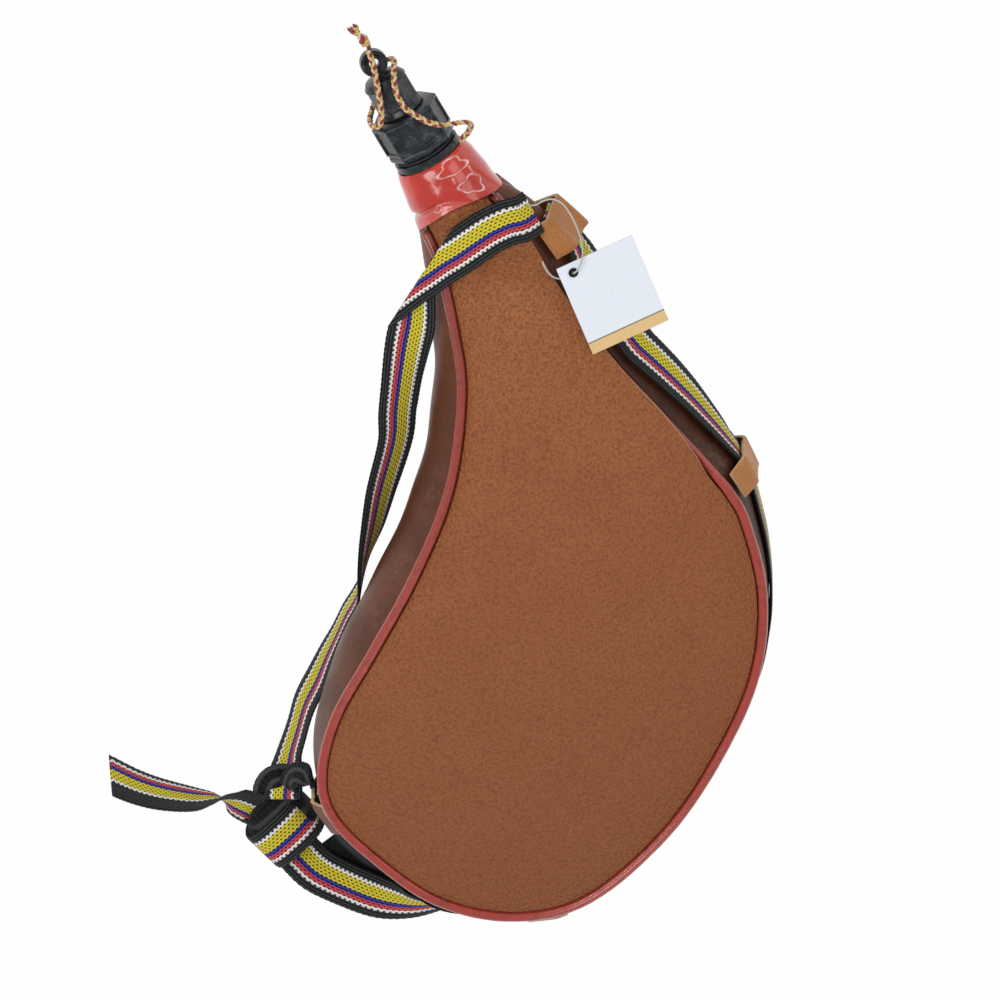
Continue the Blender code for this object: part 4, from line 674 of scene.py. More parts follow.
TAN = leather_finish("tan_pebbled_leather", hue("AA6833"), hue("98582A"), hue("8E522A"), 760.0, 0.00060, pleated=True)
RAW_EDGE = raw_edge_finish()
DARK = gusset_finish()
PIPING = piping_finish()
VINYL = vinyl_finish()
PLASTIC = plastic_finish()
WEBBING = webbing_finish()
LEFT_LOOP = leather_finish("left_loop_leather", hue("7C4736"), hue("7C4736"), hue("6A3A2C"), 2400.0, 0.00006, 0.42)
LOOP = leather_finish("loop_tan_leather", hue("C28244"), hue("BF8146"), hue("A06A40"), 2400.0, 0.00006, 0.46)
RED_YARN = strand_finish("red_yarn", "A8323A", "5E1620")
GOLD_YARN = strand_finish("gold_yarn", "E6C46A", "A8772E")
CREAM_YARN = strand_finish("cream_yarn", "F0DDB8", "B89466")
WAXED_CORD = strand_finish("waxed_cord", "CDBE98", "8E7F5C")
PAPER = card_finish()
EYELET = plain_finish("lacquered_eyelet", "15171A", "2A2D31", 0.3, 900.0, 0.00003, Metallic=0.8)
RUBBER = plain_finish("seal_rubber", "1B1C1D", "27292B", 0.7, 1200.0, 0.00004)
LATEX = plain_finish("bladder_latex", "D8C7A0", "C9B68A", 0.45, 260.0, 0.0001)
THREAD = plain_finish("clear_thread", "C9C9C4", "A9A9A2", 0.35, 1500.0, 0.00004)


# The bag's body
def outline(steps):
    """The stations from the neck's left side round the bottom to its right side, smoothed, as named columns.
    The neck's own stations lie on a circle that widens to the flare, at the seam's angle below its top."""
    between_drop, between_radius = (NECK_LENGTH + FLARE_LENGTH) / 2, (NECK_RADIUS + FLARE_RADIUS) / 2
    neck = [(0.0003, NECK_RADIUS, 0.0, 0.0), (NECK_LENGTH, NECK_RADIUS, 0.05, 0.0),
            (between_drop, between_radius, 0.065, 0.0), (FLARE_LENGTH, FLARE_RADIUS, 0.08, 1.0)]

    def neck_row(row, side):
        drop, radius, place, welt = row
        return (NECK_X + side * radius * math.cos(SEAM), COLLAR_Y - drop, place, radius * (1 - math.cos(SEAM)),
                radius * math.sin(SEAM), 0.0, welt)

    scale = np.array((WIDTH, LENGTH, 1, GUSSET_BULGE, GUSSET_HEIGHT / 2, 1, 1))
    rows = [neck_row(r, -1) for r in neck] + list(np.array(STATIONS) * scale) + [neck_row(r, 1) for r in neck[::-1]]
    fine = smooth_rows(rows, steps)
    fine[:, [2, 5, 6]] = np.clip(fine[:, [2, 5, 6]], 0, 1)
    way = np.gradient(fine[:, :2], axis=0)
    made = dict(zip(("place", "bulge", "rise", "tuck", "welt"), fine[:, 2:].T))
    made["point"], made["out"] = fine[:, :2], unit(np.stack([way[:, 1], -way[:, 0]], 1))
    return made


def spine_at(place):
    """The spine's x, y and crown height at each place, on a smooth curve through its rows."""
    neck = [(0.0, NECK_X, COLLAR_Y - 0.0003, NECK_RADIUS), (0.05, NECK_X, COLLAR_Y - NECK_LENGTH, NECK_RADIUS),
            (0.08, NECK_X, COLLAR_Y - FLARE_LENGTH, FLARE_RADIUS)]
    fine = smooth_rows(neck + list(np.array(SPINE) * (1, WIDTH, LENGTH, CROWN)), 12)
    return np.stack([np.interp(place, fine[:, 0], fine[:, k]) for k in (1, 2, 3)], 1)


def ripples(points, size, seed):
    """A slow, seeded wave over the points: a sum of sines with ways and phases of their own."""
    random = np.random.default_rng(seed)
    total = np.zeros(points.shape[:-1])
    for k in range(9):
        way = unit(random.normal(size=3)) * 2 * math.pi / (size * random.uniform(0.6, 1.7))
        total += np.sin(points @ way + random.uniform(0, 6.28)) / 9
    return total


def panel_points(side, steps, rings):
    """A panel's outer surface: from the seam's edge at each station straight to the spine in plan, and in height by
    the arc of a circle, 2 * sqrt(1 - 0.75 * (1 - w)^2) - 1, that is 0 at the seam and 1 at the spine."""
    s = outline(steps)
    tuck = s["tuck"] if side > 0 else np.zeros_like(s["tuck"])
    angle = math.pi / 2 * np.minimum(1.0, 2 * tuck)
    reach = PIPING_RADIUS + SEAM_GAP
    offset = s["welt"] * (PIPING_RADIUS * np.maximum(0.0, 2 * tuck - 1) - reach * np.cos(angle))
    lift = s["welt"] * ((reach + LEATHER / 2) * np.sin(angle) + LEATHER / 2) + (1 - s["welt"]) * SEAM_GAP
    edge = s["point"] + s["out"] * offset[:, None]
    rise = s["rise"] + lift
    spine = spine_at(s["place"])
    w = np.linspace(0, 1, rings + 1)[None, :]
    arc = 2 * np.sqrt(1 - 0.75 * (1 - w) ** 2) - 1
    flat = edge[:, None] * (1 - w[..., None]) + spine[:, None, :2] * w[..., None]
    height = rise[:, None] + (spine[:, 2] - rise)[:, None] * arc
    points = np.concatenate([flat, (NECK_HEIGHT + side * height)[..., None]], -1)
    soft = np.clip(s["place"] / 0.3, 0, 1)[:, None] * np.sin(math.pi * w / 2) ** 1.5
    points[..., 2] += side * 0.0007 * soft * ripples(points, 0.07, 3 + side)
    points[..., 2] = np.maximum(points[..., 2], 0.0002 if side < 0 else 0.0)
    return points


def make_panel(name, side):
    points = panel_points(side, 8, 36)
    piece = surface(name, points, materials=[TAN, RAW_EDGE])
    merged(piece, 4e-5)
    facing_away(piece, (0, 0, NECK_HEIGHT))
    wall(piece, LEATHER, rim=1, bevel=0.0003)
    return dress(piece, "bag", "tan_leather", "front_panel" if side > 0 else "back_panel")


def make_gusset():
    """The wall between the seams: at c from 1 to -1 of its half height it stands out by its bulge times 1 - c^2,
    and shallow folds run across it where the bag curves inwards."""
    s = outline(8)
    half = s["rise"] - s["welt"] * PIPING_RADIUS - SEAM_GAP
    c = np.linspace(1, -1, 29)[None, :]
    share = np.linspace(0, 1, len(half))
    folds = np.exp(-(((share - 0.25) / 0.13) ** 2)) * 0.0008 + np.exp(-(((share - 0.80) / 0.10) ** 2)) * 0.0007
    along = lengths(s["point"])
    wave = np.sin(along / 0.011) * np.sin(along / 0.017 + 1.3)
    out = s["bulge"][:, None] * (1 - c * c) - (folds * (1 + wave))[:, None] * (1 - c**4)
    flat = s["point"][:, None] + s["out"][:, None] * out[..., None]
    points = np.concatenate([flat, (NECK_HEIGHT + half[:, None] * c)[..., None]], -1)
    piece = surface("gusset_wall", points, materials=[DARK, RAW_EDGE])
    facing_away(merged(piece), (0, 0, NECK_HEIGHT))
    wall(piece, GUSSET_LEATHER, rim=1)
    return dress(piece, "bag", "dark_leather", "gusset")


def dress(piece, body, slot, *nodes):
    """Rides a finished piece on its body and stands it for its CAD nodes; slot is not used."""
    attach(piece, body)
    if nodes:
        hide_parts(*nodes)
    return piece


def make_piping(name, side):
    """A bead along the seam, its radius rippled by a few parts in a hundred where the leather puckers, with a
    narrow groove along its inner shoulder where the seam's fold meets the panel, and the turned-in allowance under it."""
    s = outline(8)
    keep = (s["welt"] > 0.999) & (s["point"][:, 1] < COLLAR_Y - 0.0262)
    path = np.c_[s["point"], NECK_HEIGHT + side * s["rise"]][keep]
    ripple = 1 + 0.03 * np.sin(lengths(path) / 0.0031)[:, None] * np.sin(lengths(path) / 0.0074)[:, None]
    turn = np.linspace(0, 2 * math.pi, 28, endpoint=False)
    groove = 0.16 * np.exp(-((np.angle(np.exp(1j * (turn + side * 1.95))) / 0.16) ** 2))
    slim = 1 - (0.35 * s["tuck"][keep][:, None] if side > 0 else 0)
    bead = tube(name, path, PIPING_RADIUS, PIPING, 28, (ripple - groove[None, :]) * slim)
    dress(bead, "bag", "red_piping", name.replace("bead", "piping"))
    allowance = np.c_[s["point"] - s["out"] * 0.0019, NECK_HEIGHT + side * (s["rise"] - 0.0014)][keep]
    dress(tube(name.replace("bead", "allowance"), allowance, 0.0015, DARK, 12), "bag", "dark_leather")


make_panel("front_leather", 1)
make_panel("back_leather", -1)
make_gusset()
make_piping("front_bead", 1)
make_piping("back_bead", -1)


# Neck
def ridge(turn, drop, centre, height, wide, tall, skew):
    """A closed crease on the film: 1 on an uneven ring about a place, falling off as a bell to either side."""
    a = np.angle(np.exp(1j * (turn - centre))) / wide
    b = (drop - height) / tall
    way = np.arctan2(b, a)
    ring = np.hypot(a, b) / (1 + 0.16 * np.sin(3 * way + skew) + 0.10 * np.sin(5 * way + 2 * skew))
    return np.exp(-(((ring - 1) / 0.075) ** 2))


def make_wrap():
    """The vinyl sleeve: radius by height from its own smooth profile, plus a skirt that waves, a pinched line above
    the skirt, a flat pleat down one side and closed ridges that stand out where the film has bubbled."""
    drop = np.array((0.0003, 0.0017, 0.0045, 0.0083, 0.0126, 0.0160, 0.0185, 0.0212))
    reach = np.array((0.0159, 0.0167, 0.0176, 0.0184, 0.0193, 0.0197, 0.0202, 0.0209))
    fine = smooth_rows(np.c_[drop, reach], 13)
    turn = np.linspace(0, 2 * math.pi, 360, endpoint=False)[None, :]
    d, r = fine[:, :1], fine[:, 1:2]
    low = np.clip((d - 0.0135) / 0.0077, 0, 1)
    radius = r + low**1.5 * 0.0003 * np.sin(3 * turn + 0.7) + low * 0.0002 * np.sin(7 * turn)
    right = np.clip((np.cos(turn) + 0.2) / 0.9, 0, 1)
    fold_line = 0.0163 + 0.0060 * right * right * (3 - 2 * right)
    pinch = np.exp(-(((d - fold_line) / 0.0011) ** 2)) * np.clip(0.35 - 0.65 * np.cos(turn), 0, 1)
    radius = radius - 0.0022 * pinch
    crease = np.zeros_like(radius)
    for place in ((1.02, 0.0046, 0.38, 0.0033, 0.4), (0.86, 0.0146, 0.30, 0.0034, 2.0), (1.83, 0.0178, 0.10, 0.0013, 1.1)):
        crease = np.maximum(crease, ridge(turn, d, *place))
    for centre, start, end in ((1.19, 0.0083, 0.0113), (0.63, 0.0078, 0.0110)):
        line = np.exp(-((np.angle(np.exp(1j * (turn - centre - 9 * (d - start)))) / 0.02) ** 2))
        crease = np.maximum(crease, 0.8 * line * (d > start) * (d < end))
    radius = radius + 0.00028 * crease
    edge = 0.80 - 26.0 * d
    pleat = 1 / (1 + np.exp((np.angle(np.exp(1j * (turn - edge)))) / 0.02)) * (np.cos(turn - 0.2) > 0)
    radius = radius + 0.0006 * pleat * np.clip((d - 0.001) / 0.004, 0, 1)
    drop_here = d * (1 + 0.265 * np.cos(turn) ** 2) + low**2 * 0.0003 * np.sin(2 * turn + 1.0)
    points = np.stack([NECK_X + radius * np.cos(turn), COLLAR_Y - np.broadcast_to(drop_here, radius.shape),
                       NECK_HEIGHT + radius * np.sin(turn)], -1)
    foot = 1 / (1 + np.exp((fold_line - d) / 0.00015)) * np.ones_like(turn)
    # The lay map's crease value places the vinyl's painted highlight lines; its foot value marks the doubled foot.
    piece = surface("vinyl_wrap", points, np.stack([crease, foot], -1), close=True, materials=[VINYL])
    facing_away(piece, (NECK_X, COLLAR_Y - 0.011, NECK_HEIGHT))
    wall(piece, 0.0009, even=False)
    return dress(piece, "bag", "red_vinyl", "neck_wrap")


def finished_copy(node, name, material, body, slot, bevel=0.0003, angle=28.0, uv=None):
    """A node's own shape with its loose triangles merged, its flat faces joined and its edges a little rounded."""
    piece = bpy.data.objects.new(name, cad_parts[node].data.copy())
    bpy.context.scene.collection.objects.link(piece)
    bm = bmesh.new()
    bm.from_mesh(piece.data)
    bmesh.ops.remove_doubles(bm, verts=bm.verts, dist=2e-5)
    bmesh.ops.dissolve_degenerate(bm, edges=bm.edges, dist=1e-6)
    bmesh.ops.dissolve_limit(bm, angle_limit=math.radians(1.2), verts=bm.verts, edges=bm.edges)
    for edge in bm.edges:
        edge.smooth = len(edge.link_faces) == 2 and edge.calc_face_angle() < math.radians(angle)
    for face in bm.faces:
        face.smooth = True
    bm.to_mesh(piece.data)
    bm.free()
    if uv is not None:
        origin, ways, size = uv
        layer = piece.data.uv_layers.new(name="lay")
        points = np.zeros(len(piece.data.vertices) * 3)
        piece.data.vertices.foreach_get("co", points)
        local = (points.reshape(-1, 3) - origin) @ np.array(ways).T / size
        ends = np.zeros(len(piece.data.loops), np.int32)
        piece.data.loops.foreach_get("vertex_index", ends)
        layer.data.foreach_set("uv", local[ends].astype(np.float32).ravel())
    piece.data.materials.clear()
    piece.data.materials.append(material)
    if bevel:
        edge = piece.modifiers.new("rounded", "BEVEL")
        edge.width, edge.segments, edge.limit_method = bevel, 3, "ANGLE"
        edge.angle_limit = math.radians(angle)
        edge.harden_normals = True
    return dress(piece, body, slot, node)


def rope(name, path, radius, materials, strands=3, pitch=0.0060, phase=0.0, sides=8, plaited=True):
    """Strands laid round a path, each its own round tube. A twisted strand's centre goes round the path once a
    pitch; a plaited one swings from side to side once a pitch, and over and under twice as often."""
    side, up = turning_frames(path)
    along = lengths(path)
    radius = np.broadcast_to(np.asarray(radius, float), along.shape)
    thick = radius * (0.50 if plaited else 0.56)
    made = []
    for k in range(strands):
        turn = 2 * math.pi * (along / pitch + k / strands) + phase
        swing, rise = (1.0, 0.72) if plaited else (1.0, 1.0)
        lift = np.sin(2 * turn) if plaited else np.sin(turn)
        centre = path + (radius - thick)[:, None] * (swing * np.cos(turn)[:, None] * side + rise * lift[:, None] * up)
        made.append(tube(name + "_%d" % k, centre, thick, materials[k % len(materials)], sides))
    piece = made[0]
    for k, other in enumerate(made[1:], 1):
        for polygon in other.data.polygons:
            polygon.material_index = k
        piece.data.materials.append(other.data.materials[0])
    with bpy.context.temp_override(active_object=piece, selected_editable_objects=made, object=piece):
        bpy.ops.object.join()
    piece.name = piece.data.name = name
    return piece


def cut_at(path, y):
    """The first place along the path whose y passes the given one."""
    return int(np.argmax(path[:, 1] > y))


def make_tether():
    """The braid in two lengths that meet on the mouthpiece: the first between bag and mouthpiece, the second
    between mouthpiece and cap, and the tied end rides on the cap."""
    path = even_rows(TETHER_ROUTE, 0.0007)
    at = cut_at(path, 0.2524)
    yarns = [RED_YARN, GOLD_YARN, CREAM_YARN]
    parts = []
    for name, points, phase in (("tether_lower", path[: at + 1], 0.0), ("tether_upper", path[at:], None)):
        if phase is None:
            phase = 2 * math.pi * lengths(path)[at] / 0.0060
        parts.append(rope(name, points, TETHER_RADIUS, yarns, phase=phase))
    lower, upper = parts
    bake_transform(lower)
    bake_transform(upper)
    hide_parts("tether_cord")
    end_path = even_rows(TETHER_END_ROUTE, 0.0005)
    knot = rope("tether_tie", end_path[:, :3], TETHER_RADIUS * end_path[:, 3] * 0.96, yarns)
    dress(knot, "cap", "tether_braid", "tether_knot")
    fray = make_fray(end_path[-1, :3], tangents(end_path[:, :3])[-1])


def make_fray(tip, way):
    """The braid's unravelled end: fine yarns that fan out from the tip, red to one side and gold to the other."""
    random = np.random.default_rng(11)
    side = unit(np.cross(way, (0, 0, 1.0)))
    up = np.cross(side, way)
    pieces = []
    for k in range(26):
        lean = random.uniform(-1, 1)
        rise = random.uniform(-0.6, 0.6)
        start = tip - way * 0.0015 + side * lean * 0.0010 + up * rise * 0.0008
        end = start + way * random.uniform(0.0022, 0.0034) + side * lean * 0.0013 + up * rise * 0.0010
        middle = (start + end) / 2 + side * lean * 0.0004
        strand = even_rows([start, middle, end], 0.0007)
        colour = RED_YARN if lean < 0.05 else GOLD_YARN
        pieces.append(tube("fray_%d" % k, strand, 0.00022, colour, 5))
    for piece in pieces[1:]:
        if piece.data.materials[0] != pieces[0].data.materials[0]:
            for polygon in piece.data.polygons:
                polygon.material_index = 1
            piece.data.materials.clear()
            piece.data.materials.append(RED_YARN)
            piece.data.materials.append(GOLD_YARN)
    pieces[0].data.materials.clear()
    pieces[0].data.materials.append(RED_YARN)
    pieces[0].data.materials.append(GOLD_YARN)
    with bpy.context.temp_override(active_object=pieces[0], selected_editable_objects=pieces, object=pieces[0]):
        bpy.ops.object.join()
    pieces[0].name = "tether_fray"
    return dress(pieces[0], "cap", "tether_braid")


def make_binding():
    """The waxed cord's unbroken helix under the wrap, as a three-strand twist."""
    turn = np.linspace(0, 2 * math.pi * 5, 5 * 40 + 1)
    radius = NECK_RADIUS + 0.0003 + 0.0008
    path = np.stack([NECK_X + radius * np.cos(turn), COLLAR_Y - 0.0045 - 0.0021 * turn / (2 * math.pi),
                     NECK_HEIGHT - radius * np.sin(turn)], 1)
    piece = rope("binding_twist", path, 0.0008, [WAXED_CORD], pitch=0.0035, sides=6, plaited=False)
    return dress(piece, "bag", "binding_cord", "neck_binding")


make_wrap()
make_binding()
finished_copy("collar", "collar_finished", PLASTIC, "bag", "black_plastic", 0.00025)
finished_copy("collar_gasket", "gasket_finished", RUBBER, "mouthpiece_rise", "seal_rubber", 0.00015)
finished_copy("mouthpiece", "mouthpiece_finished", PLASTIC, "mouthpiece", "black_plastic", 0.0003)
finished_copy("cap", "cap_finished", PLASTIC, "cap", "black_plastic", 0.0003)
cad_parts["cap_liner"].data.materials.clear()
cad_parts["cap_liner"].data.materials.append(RUBBER)
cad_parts["bladder"].data.materials.clear()
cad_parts["bladder"].data.materials.append(LATEX)
make_tether()


# Strap and loops
def creased(points, far, ends_there):
    """Each lengthwise thread of a band read again between the crease and its far end: away is a point's distance
    from the upright plane through the crease, and a thread is cut where that passes zero."""
    first, last = CREASE
    view = np.array((0.182, 0.327, 0.927))
    way = unit(np.cross(last - first, view))
    away = (points - first) @ way
    inside = away > 0 if (away[-1 if not ends_there else 0].mean() > 0) else away < 0
    rows = np.arange(len(points))
    start, end = np.zeros(points.shape[1]), np.full(points.shape[1], len(points) - 1.0)
    for k in range(points.shape[1]):
        at = np.flatnonzero(inside[:-1, k] != inside[1:, k])
        if len(at):
            where = at[0] + away[at[0], k] / (away[at[0], k] - away[at[0] + 1, k])
            (end if ends_there else start)[k] = where
    share = np.linspace(0, 1, len(points))[:, None]
    index = start + (end - start) * share
    read = np.stack([[np.interp(index[:, k], rows, points[:, k, a]) for k in range(points.shape[1])]
                     for a in range(3)], -1).transpose(1, 0, 2)
    if ends_there:
        near = np.clip(1 - np.abs((read - first) @ way) / 0.0014, 0, 1)
        read = read + unit(CREASE_FALL) * ((1 - np.sqrt(1 - near**2)) * STRAP_THICKNESS)[..., None]
    return read, np.interp(index, rows, far)


def band(name, path, faces, width=STRAP_WIDTH, thickness=STRAP_THICKNESS, flip=False, lay=(0.0, 1.0), crease=None,
         slant=0.0):
    """A flat woven band: a rounded flat section, wider by a small wave at each selvedge loop, carried along the
    path with its face the given way. The lay map's way across goes from one value to the other on both faces, and
    its way along is in metres. crease says that the band ends or begins on the strap's crease."""
    along = tangents(path)
    side = unit(np.cross(along, faces))
    up = np.cross(side, along)
    x = np.r_[np.linspace(-1, 1, 15), [1.03], np.linspace(1, -1, 15), [-1.03]] / 2
    z = np.r_[np.full(15, 0.5), [0.0], np.full(15, -0.5), [0.0]]
    z *= np.where(np.abs(x) > 0.495, 0.55, 1.0)
    far = lengths(path)
    wave = 1 + 0.012 * np.cos(far * math.pi * 850)
    points = (path[:, None] + side[:, None] * (x * width)[None, :, None] * wave[:, None, None]
              + up[:, None] * (z * thickness)[None, :, None])
    cut = np.clip(1 - far / 0.012, 0, 1)[:, None] * slant * x
    points = points + along[:, None] * cut[..., None]
    far = np.repeat(far[:, None], 32, 1)
    if crease:
        points, far = creased(points, far[:, 0], crease == "ends")
    across = lay[0] + (lay[1] - lay[0]) * (0.5 - x if flip else 0.5 + x)
    uv = np.stack([np.broadcast_to(across, far.shape), far], -1)
    return merged(surface(name, points, uv, True, True, [WEBBING]), 1e-6, outward=True)


def make_run(name, rows, node=None, **settings):
    """A stretch of the strap on the smooth curve through its rows."""
    rows = even_rows(np.array(rows) * (WIDTH, LENGTH, NECK_HEIGHT, 1, 1, 1), 0.0006)
    piece = band(name, rows[:, :3], rows[:, 3:], **settings)
    return dress(piece, "bag", "webbing", *([node] if node else []))


def wall_place(s, c, off):
    """A point that far off the gusset's outer surface, at c of its half height, and the way out of it there."""
    slope = 2 * s["bulge"] * c / s["rise"]
    away = unit(np.c_[s["out"], slope])
    flat = s["point"] + s["out"] * (s["bulge"] * (1 - c * c))[:, None]
    return np.c_[flat, NECK_HEIGHT + s["rise"] * c] + away * np.reshape(off, (-1, 1)), away


WALL = outline(2)


def station_at(shares):
    """The coarse outline's stations read straight between each two, at the given shares of their count."""
    where = np.asarray(shares) * (len(WALL["rise"]) - 1)
    index = np.arange(len(WALL["rise"]))
    made = {k: np.interp(where, index, WALL[k]) for k in ("bulge", "rise")}
    for k in ("point", "out"):
        made[k] = np.stack([np.interp(where, index, WALL[k][:, a]) for a in (0, 1)], 1)
    made["out"] = unit(made["out"])
    return made


def share_near(place):
    shares = np.linspace(0, 1, 10 * (len(WALL["rise"]) - 1) + 1)
    return shares[np.argmin(np.linalg.norm(station_at(shares)["point"] - np.array(place) * (WIDTH, LENGTH), axis=1))]


def wall_height(share):
    """How high on the wall the strap runs, straight between the table's rows."""
    return np.interp(share, *np.array(WALL_HEIGHTS).T)


def make_wall_run(node):
    """The strap against the gusset between two places of the outline."""
    first, last = (share_near(place) for place in WALL_ENDS[node])
    shares = np.linspace(first, last, max(6, round(1.6 * abs(last - first) * len(WALL["rise"]))) + 1)
    places, away = wall_place(station_at(shares), wall_height(shares), STRAP_OFF - 0.0007)
    rows = even_rows(np.c_[places, away], 0.0006)
    piece = band("webbing_" + node[6:], rows[:, :3], rows[:, 3:], flip=False)
    return dress(piece, "bag", "webbing", node)


def make_loop(node, place):
    """A leather loop: at each of its rows the section goes from near one seam over the strap to near the other, on
    the smooth curve through seven places."""
    share = share_near(place)
    span = len(WALL["rise"]) - 1
    step = np.linalg.norm(np.diff(station_at([share, share + 1 / span])["point"], axis=0))
    half = (0.0120 if node == "right_loop" else LOOP_WIDTH) / 2 / step / span
    shares = share + half * np.linspace(-1, 1, 9)
    s = station_at(shares)
    lift = STRAP_OFF + STRAP_THICKNESS / 2 + LOOP_LEATHER / 2 + 0.0006
    low = LOOP_LEATHER / 2 + 0.0006
    middle, away = wall_place(s, wall_height(share), lift)
    along = np.c_[-s["out"][:, 1], s["out"][:, 0], np.zeros(len(shares))]
    up = np.cross(away, along)
    up *= np.where(up[:, 2:] > 0, 1, -1)
    reach = STRAP_WIDTH / 2 + LOOP_LEATHER
    over = [middle + up * reach * k / 2 for k in (2, 1, 0, -1, -2)]
    top, bottom = wall_place(s, 0.80, low)[0], wall_place(s, -0.80, low)[0]
    section = np.stack([top, *over, bottom], 0)
    fine = smooth_rows(section.reshape(7, -1), 6).reshape(-1, len(shares), 3)
    piece = surface("leather_" + node, fine, materials=[LEFT_LOOP if node == "left_loop" else LOOP, RAW_EDGE])
    facing_away(piece, (0, 0, NECK_HEIGHT))
    wall(piece, LOOP_LEATHER, 0.0, rim=1, bevel=0.0003)
    return dress(piece, "bag", "loop_leather", node)


make_run("webbing_crossing", CROSSING_RUN, flip=True, crease="ends")
make_run("webbing_long_run", LONG_RUN, "strap_front_run", crease="begins")
make_run("webbing_lower_run", LOWER_RUN, "strap_lower_run")
make_run("webbing_back_run", BACK_RUN, "strap_back_run", lay=(0.02, 0.16))
make_run("webbing_tail", TAIL, "strap_tail", flip=True, lay=(-0.22, 0.93), slant=0.007)
make_run("webbing_side_run", SIDE_RUN, "strap_side_run", width=0.011, thickness=2 * STRAP_THICKNESS,
         lay=(0.0, 0.15))
for run in WALL_ENDS:
    make_wall_run(run)
for loop, loop_place in LOOP_PLACES.items():
    make_loop(loop, loop_place)


def make_strap_knot():
    """The flat knot: bands of webbing drawn over a heart, each on its own arch, the striped one on top. An arch is
    the upper part of an ellipse on an upright plane: name, its middle, its way round, its half width and height,
    and the lay map's part that shows; every arch goes on 0.4 of a radian past level at each end."""
    arches = [
        ("knot_top", (-0.1372, -0.0208, 0.0080), 15, 0.0142, 0.0134, (0.0, 1.0)),
        ("knot_turn", (-0.1360, -0.0150, 0.0075), 15, 0.0125, 0.0122, (0.0, 0.15)),
    ]
    for name, centre, turn, wide, tall, lay in arches:
        turn = math.radians(turn)
        way, square = np.array((math.cos(turn), math.sin(turn), 0.0)), np.array((-math.sin(turn), math.cos(turn), 0.0))
        t = np.linspace(-0.4, math.pi + 0.4, 91)
        level, high = (np.sign(k) * np.abs(k) ** 0.7 for k in (np.cos(t), np.sin(t)))
        path = np.array(centre) + way * (level * wide)[:, None] + np.array((0, 0, 1.0)) * (high * tall)[:, None]
        path = even_rows(path, 0.0006)
        dress(band(name, path, np.cross(square, tangents(path)), flip=True, lay=lay), "bag", "webbing")
    path = even_rows([(-0.1390, -0.0060, 0.0120), (-0.1352, 0.0015, 0.0155), (-0.1300, 0.0050, 0.0168),
                      (-0.1250, 0.0040, 0.0168), (-0.1215, -0.0010, 0.0145)], 0.0006)
    turned = band("knot_bend", path, np.array([(0.2, 0.3, 0.93)] * len(path)), 0.0100, lay=(0.02, 0.14))
    dress(turned, "bag", "webbing")
    middle = np.array((-0.590 * WIDTH, -0.048 * LENGTH, 0.365 * NECK_HEIGHT))
    u, v = np.meshgrid(np.linspace(0, 2 * math.pi, 40, endpoint=False), np.linspace(0.02, math.pi - 0.02, 20))
    local = np.stack([0.0160 * np.sin(v) * np.cos(u), 0.0125 * np.sin(v) * np.sin(u), 0.0082 * np.cos(v)], -1)
    yaw = math.radians(35)
    ways = np.array(((math.cos(yaw), math.sin(yaw), 0), (-math.sin(yaw), math.cos(yaw), 0), (0, 0, 1.0)))
    core = surface("knot_heart", middle + local @ ways, np.stack([np.full_like(u, 0.05), v * 0.01], -1), True, True,
                   [WEBBING])
    dress(merged(core, outward=True), "bag", "webbing", "strap_knot")


make_strap_knot()


# Tag
def make_tag():
    """The card keeps its own shape, with its pattern laid out from its own corner; thread and eyelet hold it."""
    turn = (Matrix.Rotation(math.radians(-7.2), 3, "Z") @ Matrix.Rotation(math.radians(11.8), 3, "Y")
            @ Matrix.Rotation(math.radians(2), 3, "X"))
    ways = [list(turn.col[0]), list(turn.col[1])]
    corner = TAG_PLACE - np.array(ways[0]) * 0.0063 - np.array(ways[1]) * (0.0440 - 0.0045)
    finished_copy("hang_tag", "tag_card", PAPER, "tag", "tag_card", 0.0001, uv=(corner, ways, (0.0366, 0.0440)))
    finished_copy("tag_eyelet", "eyelet_finished", EYELET, "tag", "eyelet_metal", 0.0001)
    path = even_rows(THREAD_ROUTE, 0.0008)
    thread = tube("thread_loop", path, THREAD_RADIUS, THREAD, 10)
    dress(thread, "bag", "tag_thread", "tag_thread")


make_tag()


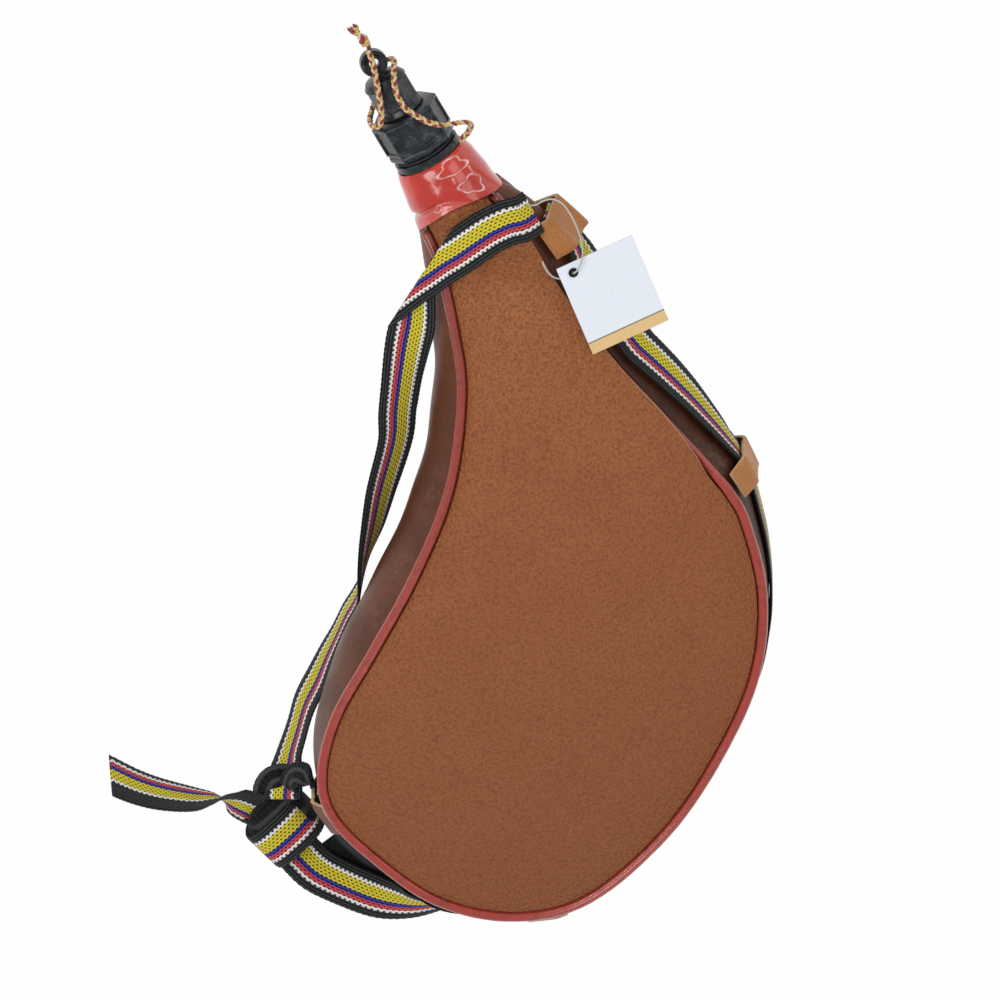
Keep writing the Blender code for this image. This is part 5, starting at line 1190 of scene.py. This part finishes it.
def set_stage():
    """A white ground that keeps a faint shadow, a white surround, one broad lamp overhead and two softer ones."""
    mesh = bpy.data.meshes.new("ground")
    mesh.from_pydata([(-6, -6, -0.0002), (6, -6, -0.0002), (6, 6, -0.0002), (-6, 6, -0.0002)], [], [(0, 1, 2, 3)])
    ground = bpy.data.objects.new("ground", mesh)
    bpy.context.scene.collection.objects.link(ground)
    made, tree, shader, _ = finish("ground_paper", (0.93, 0.93, 0.93, 1.0), 0.9, Specular_IOR_Level=0.1)
    rays = tree.nodes.new("ShaderNodeLightPath").outputs
    white = add(tree, "Emission", {0: (1, 1, 1, 1), 1: 1.0})
    seen = maths(tree, "MULTIPLY", maths(tree, "MAXIMUM", rays["Is Camera Ray"], rays["Is Glossy Ray"]), 0.98)
    either = add(tree, "MixShader", {0: seen, 1: shader.outputs[0], 2: white.outputs[0]})
    tree.links.new(either.outputs[0], tree.nodes["Material Output"].inputs[0])
    mesh.materials.append(made)
    world = bpy.data.worlds.new("surround")
    bpy.context.scene.world = world
    world.use_nodes = True
    sky = world.node_tree
    sky.nodes.clear()
    rays = sky.nodes.new("ShaderNodeLightPath")
    seen = add(sky, "Background", {0: (1, 1, 1, 1), 1: 1.0})
    fill = add(sky, "Background", {0: (0.97, 0.98, 1.0, 1), 1: 0.60})
    either = add(sky, "MixShader", {0: rays.outputs["Is Camera Ray"], 1: fill.outputs[0], 2: seen.outputs[0]})
    sky.links.new(either.outputs[0], sky.nodes.new("ShaderNodeOutputWorld").inputs[0])
    lamps = [("overhead", (-0.45, 0.75, 1.5), 0.8, 10.0), ("right_side", (1.3, 0.2, 0.9), 0.7, 2.5),
             ("foot_side", (-0.2, -1.3, 0.9), 0.8, 2.0)]
    for name, place, size, power in lamps:
        data = bpy.data.lights.new(name, "AREA")
        data.size, data.energy = size, power
        lamp = bpy.data.objects.new(name, data)
        lamp.location = place
        lamp.rotation_euler = (Vector((0, 0.05, 0)) - Vector(place)).to_track_quat("-Z", "Y").to_euler()
        bpy.context.scene.collection.objects.link(lamp)


set_stage()
bpy.context.scene.view_settings.view_transform = "Standard"
